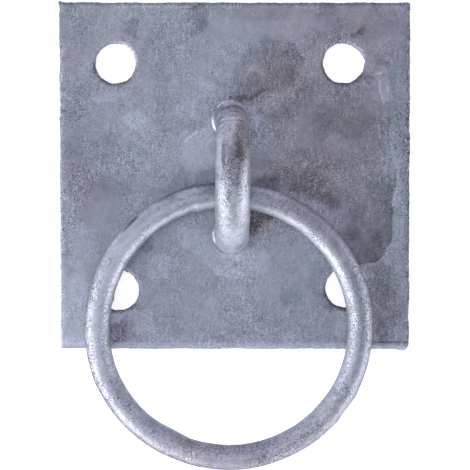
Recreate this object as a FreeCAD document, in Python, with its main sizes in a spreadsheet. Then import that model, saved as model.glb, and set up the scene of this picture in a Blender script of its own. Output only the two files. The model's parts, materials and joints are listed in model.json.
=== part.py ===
import FreeCAD, Part
import math
import os

import Sketcher

# Ring on plate: a loose round-rod ring held by a staple, whose two legs go through a square
# four-hole back plate and are welded there. All of it is steel, galvanised after assembly.
# Millimetres. The plate lies on its back. The origin is on the back face, at the centre of the
# fixing holes and of the staple's feet. +Z stands out of the plate, and +Y runs along the staple,
# away from the edge that the ring lies over.

SIZES = [
    ("plate_width", 100.0, "blank across the staple, along X"),
    ("plate_length", 98.8, "blank along the staple, along Y"),
    ("plate_thickness", 5.0, "hot-rolled flat"),
    ("plate_shift_x", 1.1, "how far the blank sits off the hole pattern, towards +X"),
    ("plate_shift_y", 0.2, "how far the blank sits off the hole pattern, towards +Y"),
    ("plate_corner_radius", 1.0, "sheared corners under zinc"),
    ("plate_edge_round", 0.5, "sheared edges under zinc, front and back"),
    ("fixing_margin_x", 17.5, "fixing hole's centre in from the sides of a centred blank"),
    ("fixing_margin_y", 16.9, "fixing hole's centre in from the ends of a centred blank"),
    ("fixing_hole_diameter", 11.5, "clears a 10 mm fixing"),
    ("hole_rim_round", 0.35, "punched rims under zinc, front and back"),
    ("staple_rod_diameter", 9.5, "rod that the staple is bent from"),
    ("staple_leg_pitch", 32.9, "legs, centre to centre"),
    ("staple_leg_rise", 3.5, "straight leg above the plate, up to the bend"),
    ("leg_hole_clearance", 0.15, "round each leg, inside its hole in the plate"),
    ("foot_weld_leg", 0.7, "weld bead round each foot, out from the leg and up from the plate"),
    ("ring_rod_diameter", 7.0, "rod that the ring is bent from"),
    ("ring_inner_diameter", 68.0, "clear opening of the ring"),
    ("ring_to_plate_gap", 0.3, "running gap under the ring where it lies on the plate"),
    ("ring_to_leg_gap", 3.3, "from the lower leg to the ring's rod, as the ring lies"),
    ("ring_shift_x", -0.6, "where the ring lies sideways in the staple"),
]

FIXING_PITCH_X = "(Sizes.plate_width - 2 * Sizes.fixing_margin_x)"
FIXING_PITCH_Y = "(Sizes.plate_length - 2 * Sizes.fixing_margin_y)"
LEG_PLACE = "Sizes.staple_leg_pitch / 2"
LEG_HOLE_DIAMETER = "Sizes.staple_rod_diameter + 2 * Sizes.leg_hole_clearance"
RING_MEAN_RADIUS = "(Sizes.ring_inner_diameter + Sizes.ring_rod_diameter) / 2"
RING_ROD_PLACE = ("(Sizes.staple_leg_pitch - Sizes.staple_rod_diameter"
                  " - Sizes.ring_rod_diameter) / 2 - Sizes.ring_to_leg_gap")
RING_HEIGHT = "Sizes.plate_thickness + Sizes.ring_to_plate_gap + Sizes.ring_rod_diameter / 2"

# How a sketch numbers its axes, its origin and the points of an element
PLACES = {"x axis": [-1], "y axis": [-2], "origin": [-1, 1], "start": [1], "end": [2], "centre": [3]}
FULL_TURN = 360.0
SAME_PLACE = 1e-4

doc = FreeCAD.newDocument("RingOnPlate")
sheet = doc.addObject("Spreadsheet::Sheet", "Sizes")
for row, (alias, value, note) in enumerate(SIZES, start=1):
    sheet.set(f"A{row}", alias)
    sheet.set(f"B{row}", str(value))
    sheet.set(f"C{row}", note)
    sheet.setAlias(f"B{row}", alias)
doc.recompute()


def new_body(label):
    body = doc.addObject("PartDesign::Body", label)
    body.Label = label
    return body


def new_sketch(body, name, plane_role):
    planes = {feature.Role: feature for feature in body.Origin.OriginFeatures}
    sketch = body.newObject("Sketcher::SketchObject", name)
    sketch.AttachmentSupport = [(planes[plane_role], "")]
    sketch.MapMode = "FlatFace"
    return sketch


def size_of(expression):
    return float(sheet.evalExpression(expression))


def constrain(sketch, kind, *terms):
    """Add a constraint between elements, given by their numbers, and places, given in words."""
    numbers = []
    for term in terms:
        numbers.extend(PLACES[term] if isinstance(term, str) else [term])
    return sketch.addConstraint(Sketcher.Constraint(kind, *numbers))


def dimension(sketch, name, expression, kind, *terms):
    """Add a driving dimension to a sketch and tie it to the sheet."""
    index = constrain(sketch, kind, *terms, size_of(expression))
    sketch.renameConstraint(index, name)
    sketch.setExpression(f"Constraints.{name}", expression)


def line(sketch, start, end):
    segment = Part.LineSegment(FreeCAD.Vector(*start, 0), FreeCAD.Vector(*end, 0))
    return sketch.addGeometry(segment, False)


def round_line(sketch, centre, radius, start=None, end=None):
    """Draw a circle, or the arc of it between two angles."""
    curve = Part.Circle(FreeCAD.Vector(*centre, 0), FreeCAD.Vector(0, 0, 1), radius)
    if start is not None:
        curve = Part.ArcOfCircle(curve, start, end)
    return sketch.addGeometry(curve, False)


def is_full_circle(edge):
    return isinstance(edge.Curve, Part.Circle) and edge.isClosed()


def rim_edges(feature, keep):
    """Name the edges that lie in the plate's back or front face and pass the test."""
    names = []
    for number, edge in enumerate(feature.Shape.Edges, start=1):
        low, high = edge.BoundBox.ZMin, edge.BoundBox.ZMax
        in_face = any(abs(low - face) + abs(high - face) < SAME_PLACE
                      for face in (0.0, sheet.plate_thickness))
        if in_face and keep(edge):
            names.append(f"Edge{number}")
    return names


def fillet(body, name, base, edges, expression):
    rounded = body.newObject("PartDesign::Fillet", name)
    rounded.Base = (base, edges)
    rounded.setExpression("Radius", expression)
    doc.recompute()
    return rounded


def cut_through(body, name, sketch):
    """Cut a sketch up through the plate, and make sure that it took metal away."""
    before = body.Shape.Volume
    cut = body.newObject("PartDesign::Pocket", name)
    cut.Profile = sketch
    cut.Type = "ThroughAll"
    cut.Reversed = True
    sketch.Visibility = False
    doc.recompute()
    if body.Shape.Volume >= before:
        raise RuntimeError(f"{name} cut nothing")
    return cut


def turn(body, name, sketch):
    """Turn a sketch all the way round the body's own Z axis."""
    turned = body.newObject("PartDesign::Revolution", name)
    turned.Profile = sketch
    turned.ReferenceAxis = (sketch, ["V_Axis"])
    turned.Angle = FULL_TURN
    sketch.Visibility = False


def make_back_plate():
    """Sheared square blank with four punched fixing holes and two holes for the staple's legs."""
    body = new_body("back_plate")
    outline = new_sketch(body, "plate_outline", "XY_Plane")
    left = sheet.plate_shift_x - sheet.plate_width / 2
    bottom = sheet.plate_shift_y - sheet.plate_length / 2
    corners = [(left, bottom), (left + sheet.plate_width, bottom),
               (left + sheet.plate_width, bottom + sheet.plate_length),
               (left, bottom + sheet.plate_length)]
    sides = [line(outline, corners[i], corners[(i + 1) % 4]) for i in range(4)]
    for i in range(4):
        constrain(outline, "Coincident", sides[i], "end", sides[(i + 1) % 4], "start")
        constrain(outline, ("Horizontal", "Vertical")[i % 2], sides[i])
    dimension(outline, "width", "Sizes.plate_width",
              "DistanceX", sides[0], "start", sides[0], "end")
    dimension(outline, "length", "Sizes.plate_length",
              "DistanceY", sides[1], "start", sides[1], "end")
    dimension(outline, "reach_left", "Sizes.plate_width / 2 - Sizes.plate_shift_x",
              "DistanceX", sides[0], "start", "origin")
    dimension(outline, "reach_down", "Sizes.plate_length / 2 - Sizes.plate_shift_y",
              "DistanceY", sides[0], "start", "origin")
    blank = body.newObject("PartDesign::Pad", "plate_blank")
    blank.Profile = outline
    blank.setExpression("Length", "Sizes.plate_thickness")
    outline.Visibility = False
    doc.recompute()

    upright = [f"Edge{number}" for number, edge in enumerate(blank.Shape.Edges, start=1)
               if edge.BoundBox.ZLength > sheet.plate_thickness / 2]
    fillet(body, "plate_corners", blank, upright, "Sizes.plate_corner_radius")

    fixings = new_sketch(body, "fixing_hole_centres", "XY_Plane")
    fixing_x, fixing_y = size_of(FIXING_PITCH_X) / 2, size_of(FIXING_PITCH_Y) / 2
    for place, x_side, y_side in (("upper_left", -1, 1), ("upper_right", 1, 1),
                                  ("lower_left", -1, -1), ("lower_right", 1, -1)):
        hole = round_line(fixings, (x_side * fixing_x, y_side * fixing_y),
                          sheet.fixing_hole_diameter / 2)
        dimension(fixings, f"{place}_diameter", "Sizes.fixing_hole_diameter", "Diameter", hole)
        dimension(fixings, f"{place}_x", f"{x_side} * {FIXING_PITCH_X} / 2",
                  "DistanceX", "origin", hole, "centre")
        dimension(fixings, f"{place}_y", f"{y_side} * {FIXING_PITCH_Y} / 2",
                  "DistanceY", "origin", hole, "centre")
    fixing_holes = cut_through(body, "fixing_holes", fixings)

    punched = fillet(body, "fixing_hole_rims", fixing_holes,
                     rim_edges(fixing_holes, is_full_circle), "Sizes.hole_rim_round")
    fillet(body, "plate_edges", punched,
           rim_edges(punched, lambda edge: not is_full_circle(edge)), "Sizes.plate_edge_round")

    legs = new_sketch(body, "leg_hole_centres", "XY_Plane")
    for place, y_side in (("upper", 1), ("lower", -1)):
        hole = round_line(legs, (0, y_side * size_of(LEG_PLACE)), size_of(LEG_HOLE_DIAMETER) / 2)
        constrain(legs, "PointOnObject", hole, "centre", "y axis")
        dimension(legs, f"{place}_diameter", LEG_HOLE_DIAMETER, "Diameter", hole)
        dimension(legs, f"{place}_y", f"{y_side} * {LEG_PLACE}", "DistanceY", "origin", hole, "centre")
    cut_through(body, "leg_holes", legs)
    return body


def make_staple():
    """One rod bent to a half round on two straight legs, which end flush with the plate's back."""
    body = new_body("staple")
    leg_place = size_of(LEG_PLACE)
    section = new_sketch(body, "staple_section", "XY_Plane")
    rod = round_line(section, (0, -leg_place), sheet.staple_rod_diameter / 2)
    constrain(section, "PointOnObject", rod, "centre", "y axis")
    dimension(section, "diameter", "Sizes.staple_rod_diameter", "Diameter", rod)
    dimension(section, "leg_place", LEG_PLACE, "DistanceY", rod, "centre", "origin")

    path = new_sketch(body, "staple_path", "YZ_Plane")
    bend_start = sheet.plate_thickness + sheet.staple_leg_rise
    lower_leg = line(path, (-leg_place, 0), (-leg_place, bend_start))
    bend = round_line(path, (0, bend_start), leg_place, 0, math.pi)
    upper_leg = line(path, (leg_place, bend_start), (leg_place, 0))
    constrain(path, "Tangent", lower_leg, "end", bend, "end")
    constrain(path, "Tangent", bend, "start", upper_leg, "start")
    constrain(path, "Vertical", lower_leg)
    constrain(path, "Vertical", upper_leg)
    constrain(path, "PointOnObject", lower_leg, "start", "x axis")
    constrain(path, "PointOnObject", upper_leg, "end", "x axis")
    constrain(path, "PointOnObject", bend, "centre", "y axis")
    dimension(path, "leg_pitch", "Sizes.staple_leg_pitch",
              "DistanceX", lower_leg, "start", upper_leg, "end")
    dimension(path, "leg_length", "Sizes.plate_thickness + Sizes.staple_leg_rise",
              "DistanceY", lower_leg, "start", lower_leg, "end")

    bent_rod = body.newObject("PartDesign::AdditivePipe", "staple_rod")
    bent_rod.Profile = section
    bent_rod.Spine = (path, [])
    section.Visibility = False
    path.Visibility = False
    doc.recompute()
    return body


def make_foot_weld(label, y_side):
    """Small weld bead that closes the seam between a leg and the plate's face."""
    body = new_body(label)
    bead = new_sketch(body, f"{label}_bead", "XZ_Plane")
    inner = sheet.staple_rod_diameter / 2
    seat = line(bead, (inner, 0), (inner + sheet.foot_weld_leg, 0))
    crown = round_line(bead, (inner, 0), sheet.foot_weld_leg, 0, math.pi / 2)
    wall = line(bead, (inner, sheet.foot_weld_leg), (inner, 0))
    constrain(bead, "Coincident", seat, "end", crown, "start")
    constrain(bead, "Coincident", crown, "end", wall, "start")
    constrain(bead, "Coincident", wall, "end", seat, "start")
    constrain(bead, "Coincident", crown, "centre", seat, "start")
    constrain(bead, "PointOnObject", seat, "start", "x axis")
    constrain(bead, "Horizontal", seat)
    constrain(bead, "Vertical", wall)
    dimension(bead, "leg_radius", "Sizes.staple_rod_diameter / 2",
              "DistanceX", "origin", seat, "start")
    dimension(bead, "bead_leg", "Sizes.foot_weld_leg", "Radius", crown)
    turn(body, f"{label}_turned", bead)
    body.setExpression("Placement.Base.y", f"{y_side} * {LEG_PLACE}")
    body.setExpression("Placement.Base.z", "Sizes.plate_thickness")
    doc.recompute()
    return body


def make_ring():
    """Round-rod ring, butt-welded shut inside the staple. It lies flat over the plate."""
    body = new_body("ring")
    section = new_sketch(body, "ring_section", "XZ_Plane")
    rod = round_line(section, (size_of(RING_MEAN_RADIUS), 0), sheet.ring_rod_diameter / 2)
    constrain(section, "PointOnObject", rod, "centre", "x axis")
    dimension(section, "diameter", "Sizes.ring_rod_diameter", "Diameter", rod)
    dimension(section, "mean_radius", RING_MEAN_RADIUS, "DistanceX", "origin", rod, "centre")
    turn(body, "ring_turned", section)
    body.setExpression("Placement.Base.x", "Sizes.ring_shift_x")
    body.setExpression("Placement.Base.y", f"-({RING_ROD_PLACE}) - {RING_MEAN_RADIUS}")
    body.setExpression("Placement.Base.z", RING_HEIGHT)
    doc.recompute()
    return body


pieces = [
    make_back_plate(),
    make_staple(),
    make_foot_weld("upper_foot_weld", 1),
    make_foot_weld("lower_foot_weld", -1),
    make_ring(),
]
doc.recompute()

for item in doc.Objects:
    if "Invalid" in item.State or "Error" in item.State:
        raise RuntimeError(f"{item.Name} failed: {item.State}")

for piece in pieces:
    if piece.Shape.isNull() or not piece.Shape.isValid() or len(piece.Shape.Solids) != 1:
        raise RuntimeError(f"{piece.Label} is not one valid solid")

os.makedirs("parts", exist_ok=True)
for piece in pieces:
    piece.Shape.exportStep(f"parts/{piece.Label}.step")
    box = piece.Shape.optimalBoundingBox()
    print(f"{piece.Label}: {piece.Shape.Volume:.1f} mm3, "
          f"x {box.XMin:.2f} to {box.XMax:.2f}, y {box.YMin:.2f} to {box.YMax:.2f}, "
          f"z {box.ZMin:.2f} to {box.ZMax:.2f}")
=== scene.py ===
import json
import math
import random

import bpy
import numpy as np
from mathutils import Matrix, Vector, geometry, noise


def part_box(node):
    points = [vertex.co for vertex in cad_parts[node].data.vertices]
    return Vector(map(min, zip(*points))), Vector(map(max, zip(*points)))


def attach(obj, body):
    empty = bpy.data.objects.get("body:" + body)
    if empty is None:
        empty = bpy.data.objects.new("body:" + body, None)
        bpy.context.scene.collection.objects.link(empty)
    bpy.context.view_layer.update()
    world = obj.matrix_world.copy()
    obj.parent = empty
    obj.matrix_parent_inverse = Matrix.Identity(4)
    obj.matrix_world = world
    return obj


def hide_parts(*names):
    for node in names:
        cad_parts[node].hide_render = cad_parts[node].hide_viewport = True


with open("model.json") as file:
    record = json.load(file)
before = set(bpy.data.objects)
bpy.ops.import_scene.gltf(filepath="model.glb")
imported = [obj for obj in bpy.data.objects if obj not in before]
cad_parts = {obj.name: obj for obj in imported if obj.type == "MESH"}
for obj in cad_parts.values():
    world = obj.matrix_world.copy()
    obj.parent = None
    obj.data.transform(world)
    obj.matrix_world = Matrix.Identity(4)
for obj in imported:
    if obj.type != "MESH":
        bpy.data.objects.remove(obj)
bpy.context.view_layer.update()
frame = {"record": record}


# Back plate
# A square blank sheared from 5 mm mild steel flat, punched with four fixing holes and with two holes for the
# staple's legs. It was dipped in molten zinc once the staple was welded in, so its edges carry rounded runs
# and its face dried mottled.
MM = 0.001
PLATE_MESH_PITCH = 0.45
PLATE_BACK_PITCH = 1.6
PLATE_MESH_SEED = 7
# The blank's corners, from the lower left one anticlockwise: how far each is from its square place, and its
# radius, which stays above the sharpest one where the outline is moved in.
CORNER_DRIFT = ((-0.22, 0.26), (-0.12, -0.55), (0.56, -0.12), (0.02, 0.27))
CORNER_RADIUS = (0.45, 1.3, 0.8, 0.3)
SHARPEST_CORNER = 0.04
CORNER_STEPS = 6
# Sections of the sheared edge and of the holes' walls: how far they stand back, and how deep below the face.
EDGE_PROFILE = (
    (0.80, 0.00), (0.42, 0.01), (0.26, 0.05), (0.13, 0.14), (0.04, 0.28), (0.00, 0.50),
    (0.00, 1.30), (0.02, 1.90), (0.09, 2.50), (0.15, 3.20), (0.12, 3.90), (0.10, 4.50),
    (0.20, 4.80), (0.42, 4.97), (0.80, 5.00),
)
HOLE_PROFILE = (
    (0.85, 0.00), (0.42, 0.01), (0.27, 0.05), (0.15, 0.13), (0.08, 0.26), (0.05, 0.50),
    (0.04, 1.20), (0.05, 2.00), (0.10, 2.90), (0.16, 3.80), (0.22, 4.50), (0.30, 4.85), (0.50, 5.00),
)
LEG_HOLE_RADIUS = 4.9
LEG_HOLE_PROFILE = (
    (0.45, 0.00), (0.15, 0.05), (0.00, 0.20), (0.00, 2.50), (0.00, 4.75), (0.12, 4.93), (0.30, 5.00),
)
# How far each fixing hole was punched off its place. Its key says right or left, then upper or lower.
HOLE_DRIFT = {
    (-1, 1): (-0.36, -0.02), (1, 1): (-0.14, -0.22), (-1, -1): (0.16, -0.08), (1, -1): (0.36, 0.34),
}
# The punch tore each hole on this side, and nicked the upper right one: turn and reach in degrees, and depth.
TORN_SIDE = (0.8, 0.6)
TORN_FADE = (0.6, 0.95)
HOLE_NICKS = ((8, 5, 0.6), (-2, 30, 0.45))
# How the edges, the holes' walls and the skin waver: height and size of the swells in mm, and their seed.
EDGE_WAVES = ((0.20, 6.0, 1), (0.16, 1.2, 2))
LOWER_RUN_WAVES = ((0.16, 7.0, 3), (0.08, 1.8, 4))
HOLE_WAVES = ((0.16, 2.2, 5), (0.16, 0.8, 17))
TORN_WAVES = ((0.22, 0.8, 17),)
SKIN_WAVES = ((0.030, 4.5, 6), (0.018, 1.5, 7))
FACE_WAVES = ((0.05, 30.0, 8),)
BEAD_SKIN_WAVES = ((0.05, 2.5, 14),)
# Depths are squeezed to this share, so that a swell runs four times as far down a hole's wall as round it.
WALL_GRAIN = 0.25
# Zinc ran to the lower edge and set there: how far it stands out, how far above the middle it does so most,
# as a share of the thickness, and how squarely the outline has to face down to carry it.
LOWER_RUN = 0.22
LOWER_RUN_LIFT = 0.2
LOWER_EDGE = (0.6, 0.9)
# A drip that set at the lower right corner and a nib at the upper left one: place, reach and height. The nib
# ends at this depth.
DRIP = (49.0, -49.6, 1.4832, 0.55)
NIB = (-48.6, 49.9, 0.5916, 0.55)
NIB_DEPTH = 3
# Pimples of dross on the face, each with its reach and its height in mm between these.
PIMPLE_COUNT = 90
PIMPLE_SEED = 21
PIMPLE_REACH = (0.35, 0.8)
PIMPLE_HEIGHT = (0.05, 0.14)
# How far the borders of marks stray from their plain shapes, as swells again, and the share of that which the
# puddle, the tide mark and the scratches take.
WARP_X = ((2.2, 6.0, 9), (1.1, 2.0, 10), (0.5, 0.8, 15))
WARP_Y = ((2.2, 6.0, 11), (1.1, 2.0, 12), (0.5, 0.8, 16))
POOL_WARP = 0.4
TIDE_WARP = 0.35
SCRATCH_WARP = 0.1
# The face alone, and the front with the upper part of the sides: heights from the face at which they fade in.
FACE_FADE = (-0.6, -0.1)
FRONT_FADE = (-2.5, -0.3)

# Marks on the plate's face: stains, and round the ring and the staple painted shadow. Each has its strength,
# softness of the border, then lobes given by centre, reach and turn in degrees, in mm from the middle of the
# hole pattern.
SMOKE_AND_SHADOW_MARKS = {
    "top strip": (0.09, 0.30, (12.0, 47.5, 17.0, 3.6, 0)),
    "top middle": (0.03, 0.50, (9.0, 42.0, 12.0, 4.5, 0)),
    "left quarter": (0.075, 0.40, (-50.0, 18.0, 16.0, 34.0, 0)),
    "left of the upper right hole": (0.08, 0.40, (27.0, 37.0, 5.5, 6.5, 0)),
    "under the plume": (0.09, 0.40, (13.0, 20.0, 7.0, 4.5, 20), (20.0, 23.0, 5.0, 3.5, 20)),
    "right edge, upper": (0.07, 0.40, (48.0, 17.0, 3.6, 10.0, 0)),
    "plume head": (0.10, 0.12, (11.0, 34.2, 5.6, 4.6, 0), (17.2, 33.6, 3.8, 4.2, 0)),
    "plume halo": (0.11, 0.24, (14.0, 33.6, 7.6, 5.9, 0), (4.6, 29.0, 5.0, 4.2, 20),
                   (23.5, 28.0, 4.6, 3.8, 20), (12.0, 28.0, 7.0, 4.0, 20)),
    "plume stem": (0.10, 0.25, (3.2, 22.6, 4.6, 1.8, 20), (7.6, 25.4, 5.0, 2.6, 28),
                   (13.5, 28.2, 5.0, 2.4, 32)),
    "round the plume stem": (0.04, 0.50, (7.0, 26.5, 12.0, 5.0, 25)),
    "left of the top middle": (0.055, 0.50, (-20.0, 37.5, 8.0, 7.0, 0)),
    "above the ring, left": (0.065, 0.50, (-23.0, -1.5, 15.0, 4.5, 8)),
    "plume foot": (0.16, 0.45, (4.6, 21.5, 2.2, 1.8, 0), (8.6, 24.0, 3.4, 1.0, 28)),
    "spot under the plume": (0.14, 0.40, (17.4, 23.2, 0.8, 1.9, -5)),
    # Darker towards the right: this and the right third below are partly painted shade, away from the lamps
    # on the left.
    "right half": (0.10, 0.18, (25.0, 8.0, 19.0, 15.0, 0), (33.0, 16.0, 12.0, 12.0, 0)),
    "middle right": (0.10, 0.45, (33.5, 15.5, 7.8, 5.0, 10), (31.0, 21.5, 3.6, 3.5, 0),
                     (27.0, 17.0, 3.0, 4.0, 0)),
    "right third": (0.04, 0.60, (46.0, 8.0, 24.0, 60.0, 0)),
    # Painted shadow that the ring and the staple cast on the plate, up and right of the ring.
    "over the ring, right": (0.13, 0.30, (12.0, -1.8, 6.0, 2.2, -8), (22.0, -3.0, 7.5, 4.4, -14),
                             (30.5, -8.5, 5.0, 4.4, -35), (35.0, -15.0, 3.2, 4.6, -20),
                             (22.4, 3.0, 0.8, 2.4, -40), (16.0, 1.6, 1.0, 1.6, -30)),
    "above that": (0.08, 0.45, (23.0, 3.6, 9.0, 4.5, 0)),
    # Painted shadow of the ring, beside the staple.
    "over the ring, by the staple": (0.12, 0.45, (9.4, -1.4, 4.0, 1.8, -8)),
    # Painted shadow, darkest close to the ring's outer edge.
    "over the ring, core": (0.09, 0.35, (9.4, -1.9, 3.2, 1.5, -12), (21.0, -4.4, 4.2, 2.2, -22),
                            (27.4, -7.6, 3.6, 2.2, -35), (35.6, -16.0, 1.8, 3.6, -12)),
    "tide mark core": (0.09, 0.35, (40.6, -20.5, 3.6, 4.4, 0), (36.4, -9.5, 2.2, 3.0, 10)),
    # This and the next are painted shadow beside the ring's right side.
    "right of the ring": (0.11, 0.25, (44.0, -37.0, 4.8, 12.0, 0)),
    "close to the ring, right": (0.09, 0.35, (43.0, -34.0, 2.0, 4.8, 0), (43.0, -44.0, 1.8, 3.5, 0)),
    # Painted shade along the ring's upper left outer edge.
    "over the ring, left": (0.07, 0.30, (-6.5, -0.8, 3.0, 1.8, 0), (-14.0, -2.2, 5.5, 2.2, 18),
                            (-21.5, -5.8, 4.2, 2.0, 28)),
    # This and the next are painted shadow inside the ring, under its upper left stretch.
    "ring's inner edge, left": (0.14, 0.35, (-26.3, -22.4, 4.6, 1.3, 52), (-24.5, -20.0, 1.8, 1.5, 45)),
    "ring's inner edge, top": (0.03, 0.40, (-17.0, -14.4, 4.5, 1.6, 32), (-10.0, -11.4, 4.5, 1.8, 18)),
    # This and the next are painted shade in the corner between the staple and the ring.
    "corner beside the staple": (0.36, 0.35, (7.2, -12.8, 1.7, 3.6, 0), (9.6, -11.8, 2.2, 1.7, -15)),
    "round that corner": (0.05, 0.40, (10.0, -14.0, 5.5, 4.5, 0)),
    # A dark smudge, partly the painted shadow of the ring's left side.
    "inside the ring, lower left": (0.21, 0.30, (-32.8, -42.9, 2.6, 2.2, 0), (-32.0, -45.8, 3.0, 2.2, 8)),
    "left edge": (0.07, 0.40, (-45.0, 3.0, 4.0, 9.0, 0)),
    "over the scratches": (0.06, 0.45, (-11.0, 15.2, 4.0, 1.6, 6)),
    "left middle": (0.06, 0.25, (-37.0, -8.0, 9.0, 9.0, 0), (-33.0, 8.0, 5.0, 4.0, 0)),
    "over the upper left hole": (0.16, 0.35, (-28.6, 42.2, 1.6, 3.4, 0)),
    "top, left of middle": (0.16, 0.30, (-8.8, 44.8, 2.1, 4.4, -12)),
    "streak right of the upper left hole": (0.06, 0.40, (-19.5, 24.0, 2.4, 9.0, 0)),
    "top right corner": (0.08, 0.20, (38.0, 45.5, 12.0, 5.5, 0), (30.0, 47.0, 5.0, 4.0, 0)),
    "top right stroke": (0.24, 0.30, (34.8, 40.4, 1.8, 0.9, 40), (37.4, 42.3, 1.8, 1.0, 30)),
    "top right": (0.06, 0.40, (33.5, 40.5, 6.0, 5.0, 0)),
    # Soot and painted shade where the upper foot meets the plate.
    "behind the upper foot": (0.17, 0.40, (4.2, 22.5, 4.4, 1.0, 0)),
    "under the plume head": (0.08, 0.45, (19.0, 26.8, 4.0, 3.0, 0)),
    # Painted shadow close to the ring's outer edge.
    "over the ring, middle": (0.08, 0.40, (12.2, 1.0, 3.0, 2.4, 0), (28.0, -8.0, 3.4, 2.6, -30)),
    "left of the ring": (0.07, 0.40, (-37.9, -19.0, 4.0, 3.4, 0)),
    "under the tide mark": (0.08, 0.40, (40.5, -26.6, 3.6, 2.0, 0)),
    "right of the upper right hole": (0.16, 0.35, (43.4, 32.4, 1.9, 1.2, -10), (38.4, 28.2, 2.0, 1.5, -20)),
    "lower right, inside the ring": (0.08, 0.30, (17.0, -35.0, 3.0, 3.4, 0), (25.5, -32.0, 3.0, 6.0, 0)),
    "under the lower right hole": (0.16, 0.35, (29.4, -37.6, 3.6, 1.2, -16)),
}
BLOOM_AND_LIGHT_MARKS = {
    "left of the staple": (0.11, 0.15, (-10.2, 7.5, 4.6, 5.6, 0), (-8.0, 3.6, 5.5, 2.2, 0),
                           (-7.5, 11.0, 3.0, 3.0, 0)),
    "left of the upper foot": (0.07, 0.25, (-12.0, 19.0, 4.0, 2.4, 0), (-6.5, 27.0, 2.6, 2.0, 0)),
    "left pale patch": (0.13, 0.22, (-27.4, 16.3, 3.2, 2.6, 0)),
    "pool": (0.06, 0.09, (2.6, -24.8, 8.4, 4.4, 0), (-1.0, -27.4, 5.0, 2.0, 0)),
    "pool's lower edge": (0.07, 0.25, (-0.4, -27.6, 4.2, 1.5, 0)),
    "beside the upper left hole": (0.09, 0.30, (-42.2, 29.5, 1.5, 4.0, 0), (-34.0, 23.2, 5.2, 1.3, 0)),
    "inside the ring, left": (0.08, 0.25, (-11.0, -18.0, 4.0, 3.0, 0), (-21.0, -26.0, 3.0, 4.0, 0),
                              (-8.0, -22.0, 3.0, 2.0, 0)),
    "inside the ring, low": (0.12, 0.25, (-25.0, -42.2, 3.6, 2.4, 0)),
    "lower left corner": (0.19, 0.45, (-45.0, -38.5, 4.4, 10.5, 0), (-44.0, -31.0, 3.6, 3.4, 0),
                          (-41.0, -46.0, 7.0, 2.4, 0)),
    "left edge, low": (0.06, 0.25, (-43.0, -21.0, 4.0, 8.0, 0), (-46.5, -3.0, 2.4, 8.0, 0)),
    "upper right streaks": (0.06, 0.40, (44.8, 24.0, 1.2, 6.0, 4), (47.4, 16.0, 1.0, 7.0, 0)),
    "pale spots, right half": (0.05, 0.50, (31.5, 9.5, 2.4, 1.4, 0), (36.9, 0.8, 1.8, 2.2, 0),
                               (27.0, 22.0, 2.0, 3.0, 0)),
    "lower right, by the ring": (0.09, 0.30, (31.6, -43.0, 1.6, 4.0, 0)),
    # Painted light under the staple's lower foot, against the shade that the foot casts.
    "under the staple's lower foot": (0.14, 0.50, (0.5, -22.2, 5.0, 1.4, 0)),
    "bottom strip": (0.05, 0.30, (-19.0, -45.8, 7.0, 1.5, 0)),
    "right of the tide mark": (0.09, 0.40, (48.6, -10.0, 1.8, 9.0, 0)),
    "inside the tide mark": (0.05, 0.40, (42.0, -10.0, 2.6, 4.0, 0)),
    "under the lower left hole": (0.14, 0.35, (-31.6, -39.7, 4.0, 1.3, 0)),
    "by the upper foot": (0.06, 0.40, (5.6, 16.0, 1.6, 4.0, 0)),
    "in the plume": (0.06, 0.60, (7.0, 29.0, 3.0, 2.6, 0)),
}
# Where the zinc's cast turns from blue-green to violet and brown, in the same form.
CAST_MARKS = {
    "right half": (0.36, 0.12, (27.0, 22.0, 19.0, 32.0, 0), (13.0, 29.0, 11.0, 7.0, 15)),
    "top right": (-0.14, 0.30, (27.0, 45.0, 9.0, 5.0, 0)),
    "top right corner": (0.20, 0.30, (45.0, 40.0, 7.0, 10.0, 0)),
    "top left": (0.10, 0.30, (-26.0, 34.0, 24.0, 14.0, 0)),
    # This mark and the two by the staple below tint the painted shadow of the ring and staple.
    "over the ring, right": (0.06, 0.25, (22.0, -3.0, 14.0, 5.0, -14)),
    "inside the tide mark": (0.26, 0.30, (39.0, -16.0, 7.0, 9.0, 0)),
    "over the ring, by the staple": (0.24, 0.40, (8.6, -0.6, 4.6, 3.4, 0)),
    "corner beside the staple": (0.50, 0.35, (8.6, -12.4, 3.6, 3.8, 0)),
    "left middle": (0.08, 0.15, (-35.0, -6.0, 15.0, 11.0, 0)),
    "lower left": (0.12, 0.40, (-42.0, -26.0, 7.0, 12.0, 0), (-31.0, -33.0, 6.0, 6.0, 0)),
    "inside the ring, lower left": (0.20, 0.30, (-32.0, -44.0, 4.0, 3.6, 0)),
    "right edge": (-0.16, 0.15, (48.6, -4.0, 3.8, 30.0, 0)),
    "greener patches": (-0.18, 0.45, (-19.5, 24.0, 2.4, 8.0, 0), (-26.0, 8.5, 3.0, 4.0, 0),
                        (22.8, -26.0, 2.6, 3.0, 0), (16.8, -34.5, 2.8, 4.4, 0), (-24.0, -1.5, 4.0, 3.0, 0),
                        (-34.5, -8.0, 5.0, 9.0, 0), (-37.0, 9.0, 5.0, 4.0, 0)),
    "left edge": (0.22, 0.40, (-43.5, -0.5, 4.0, 4.5, 0)),
    "right of the ring": (0.20, 0.20, (43.0, -38.0, 3.0, 10.0, 0)),
}
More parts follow.
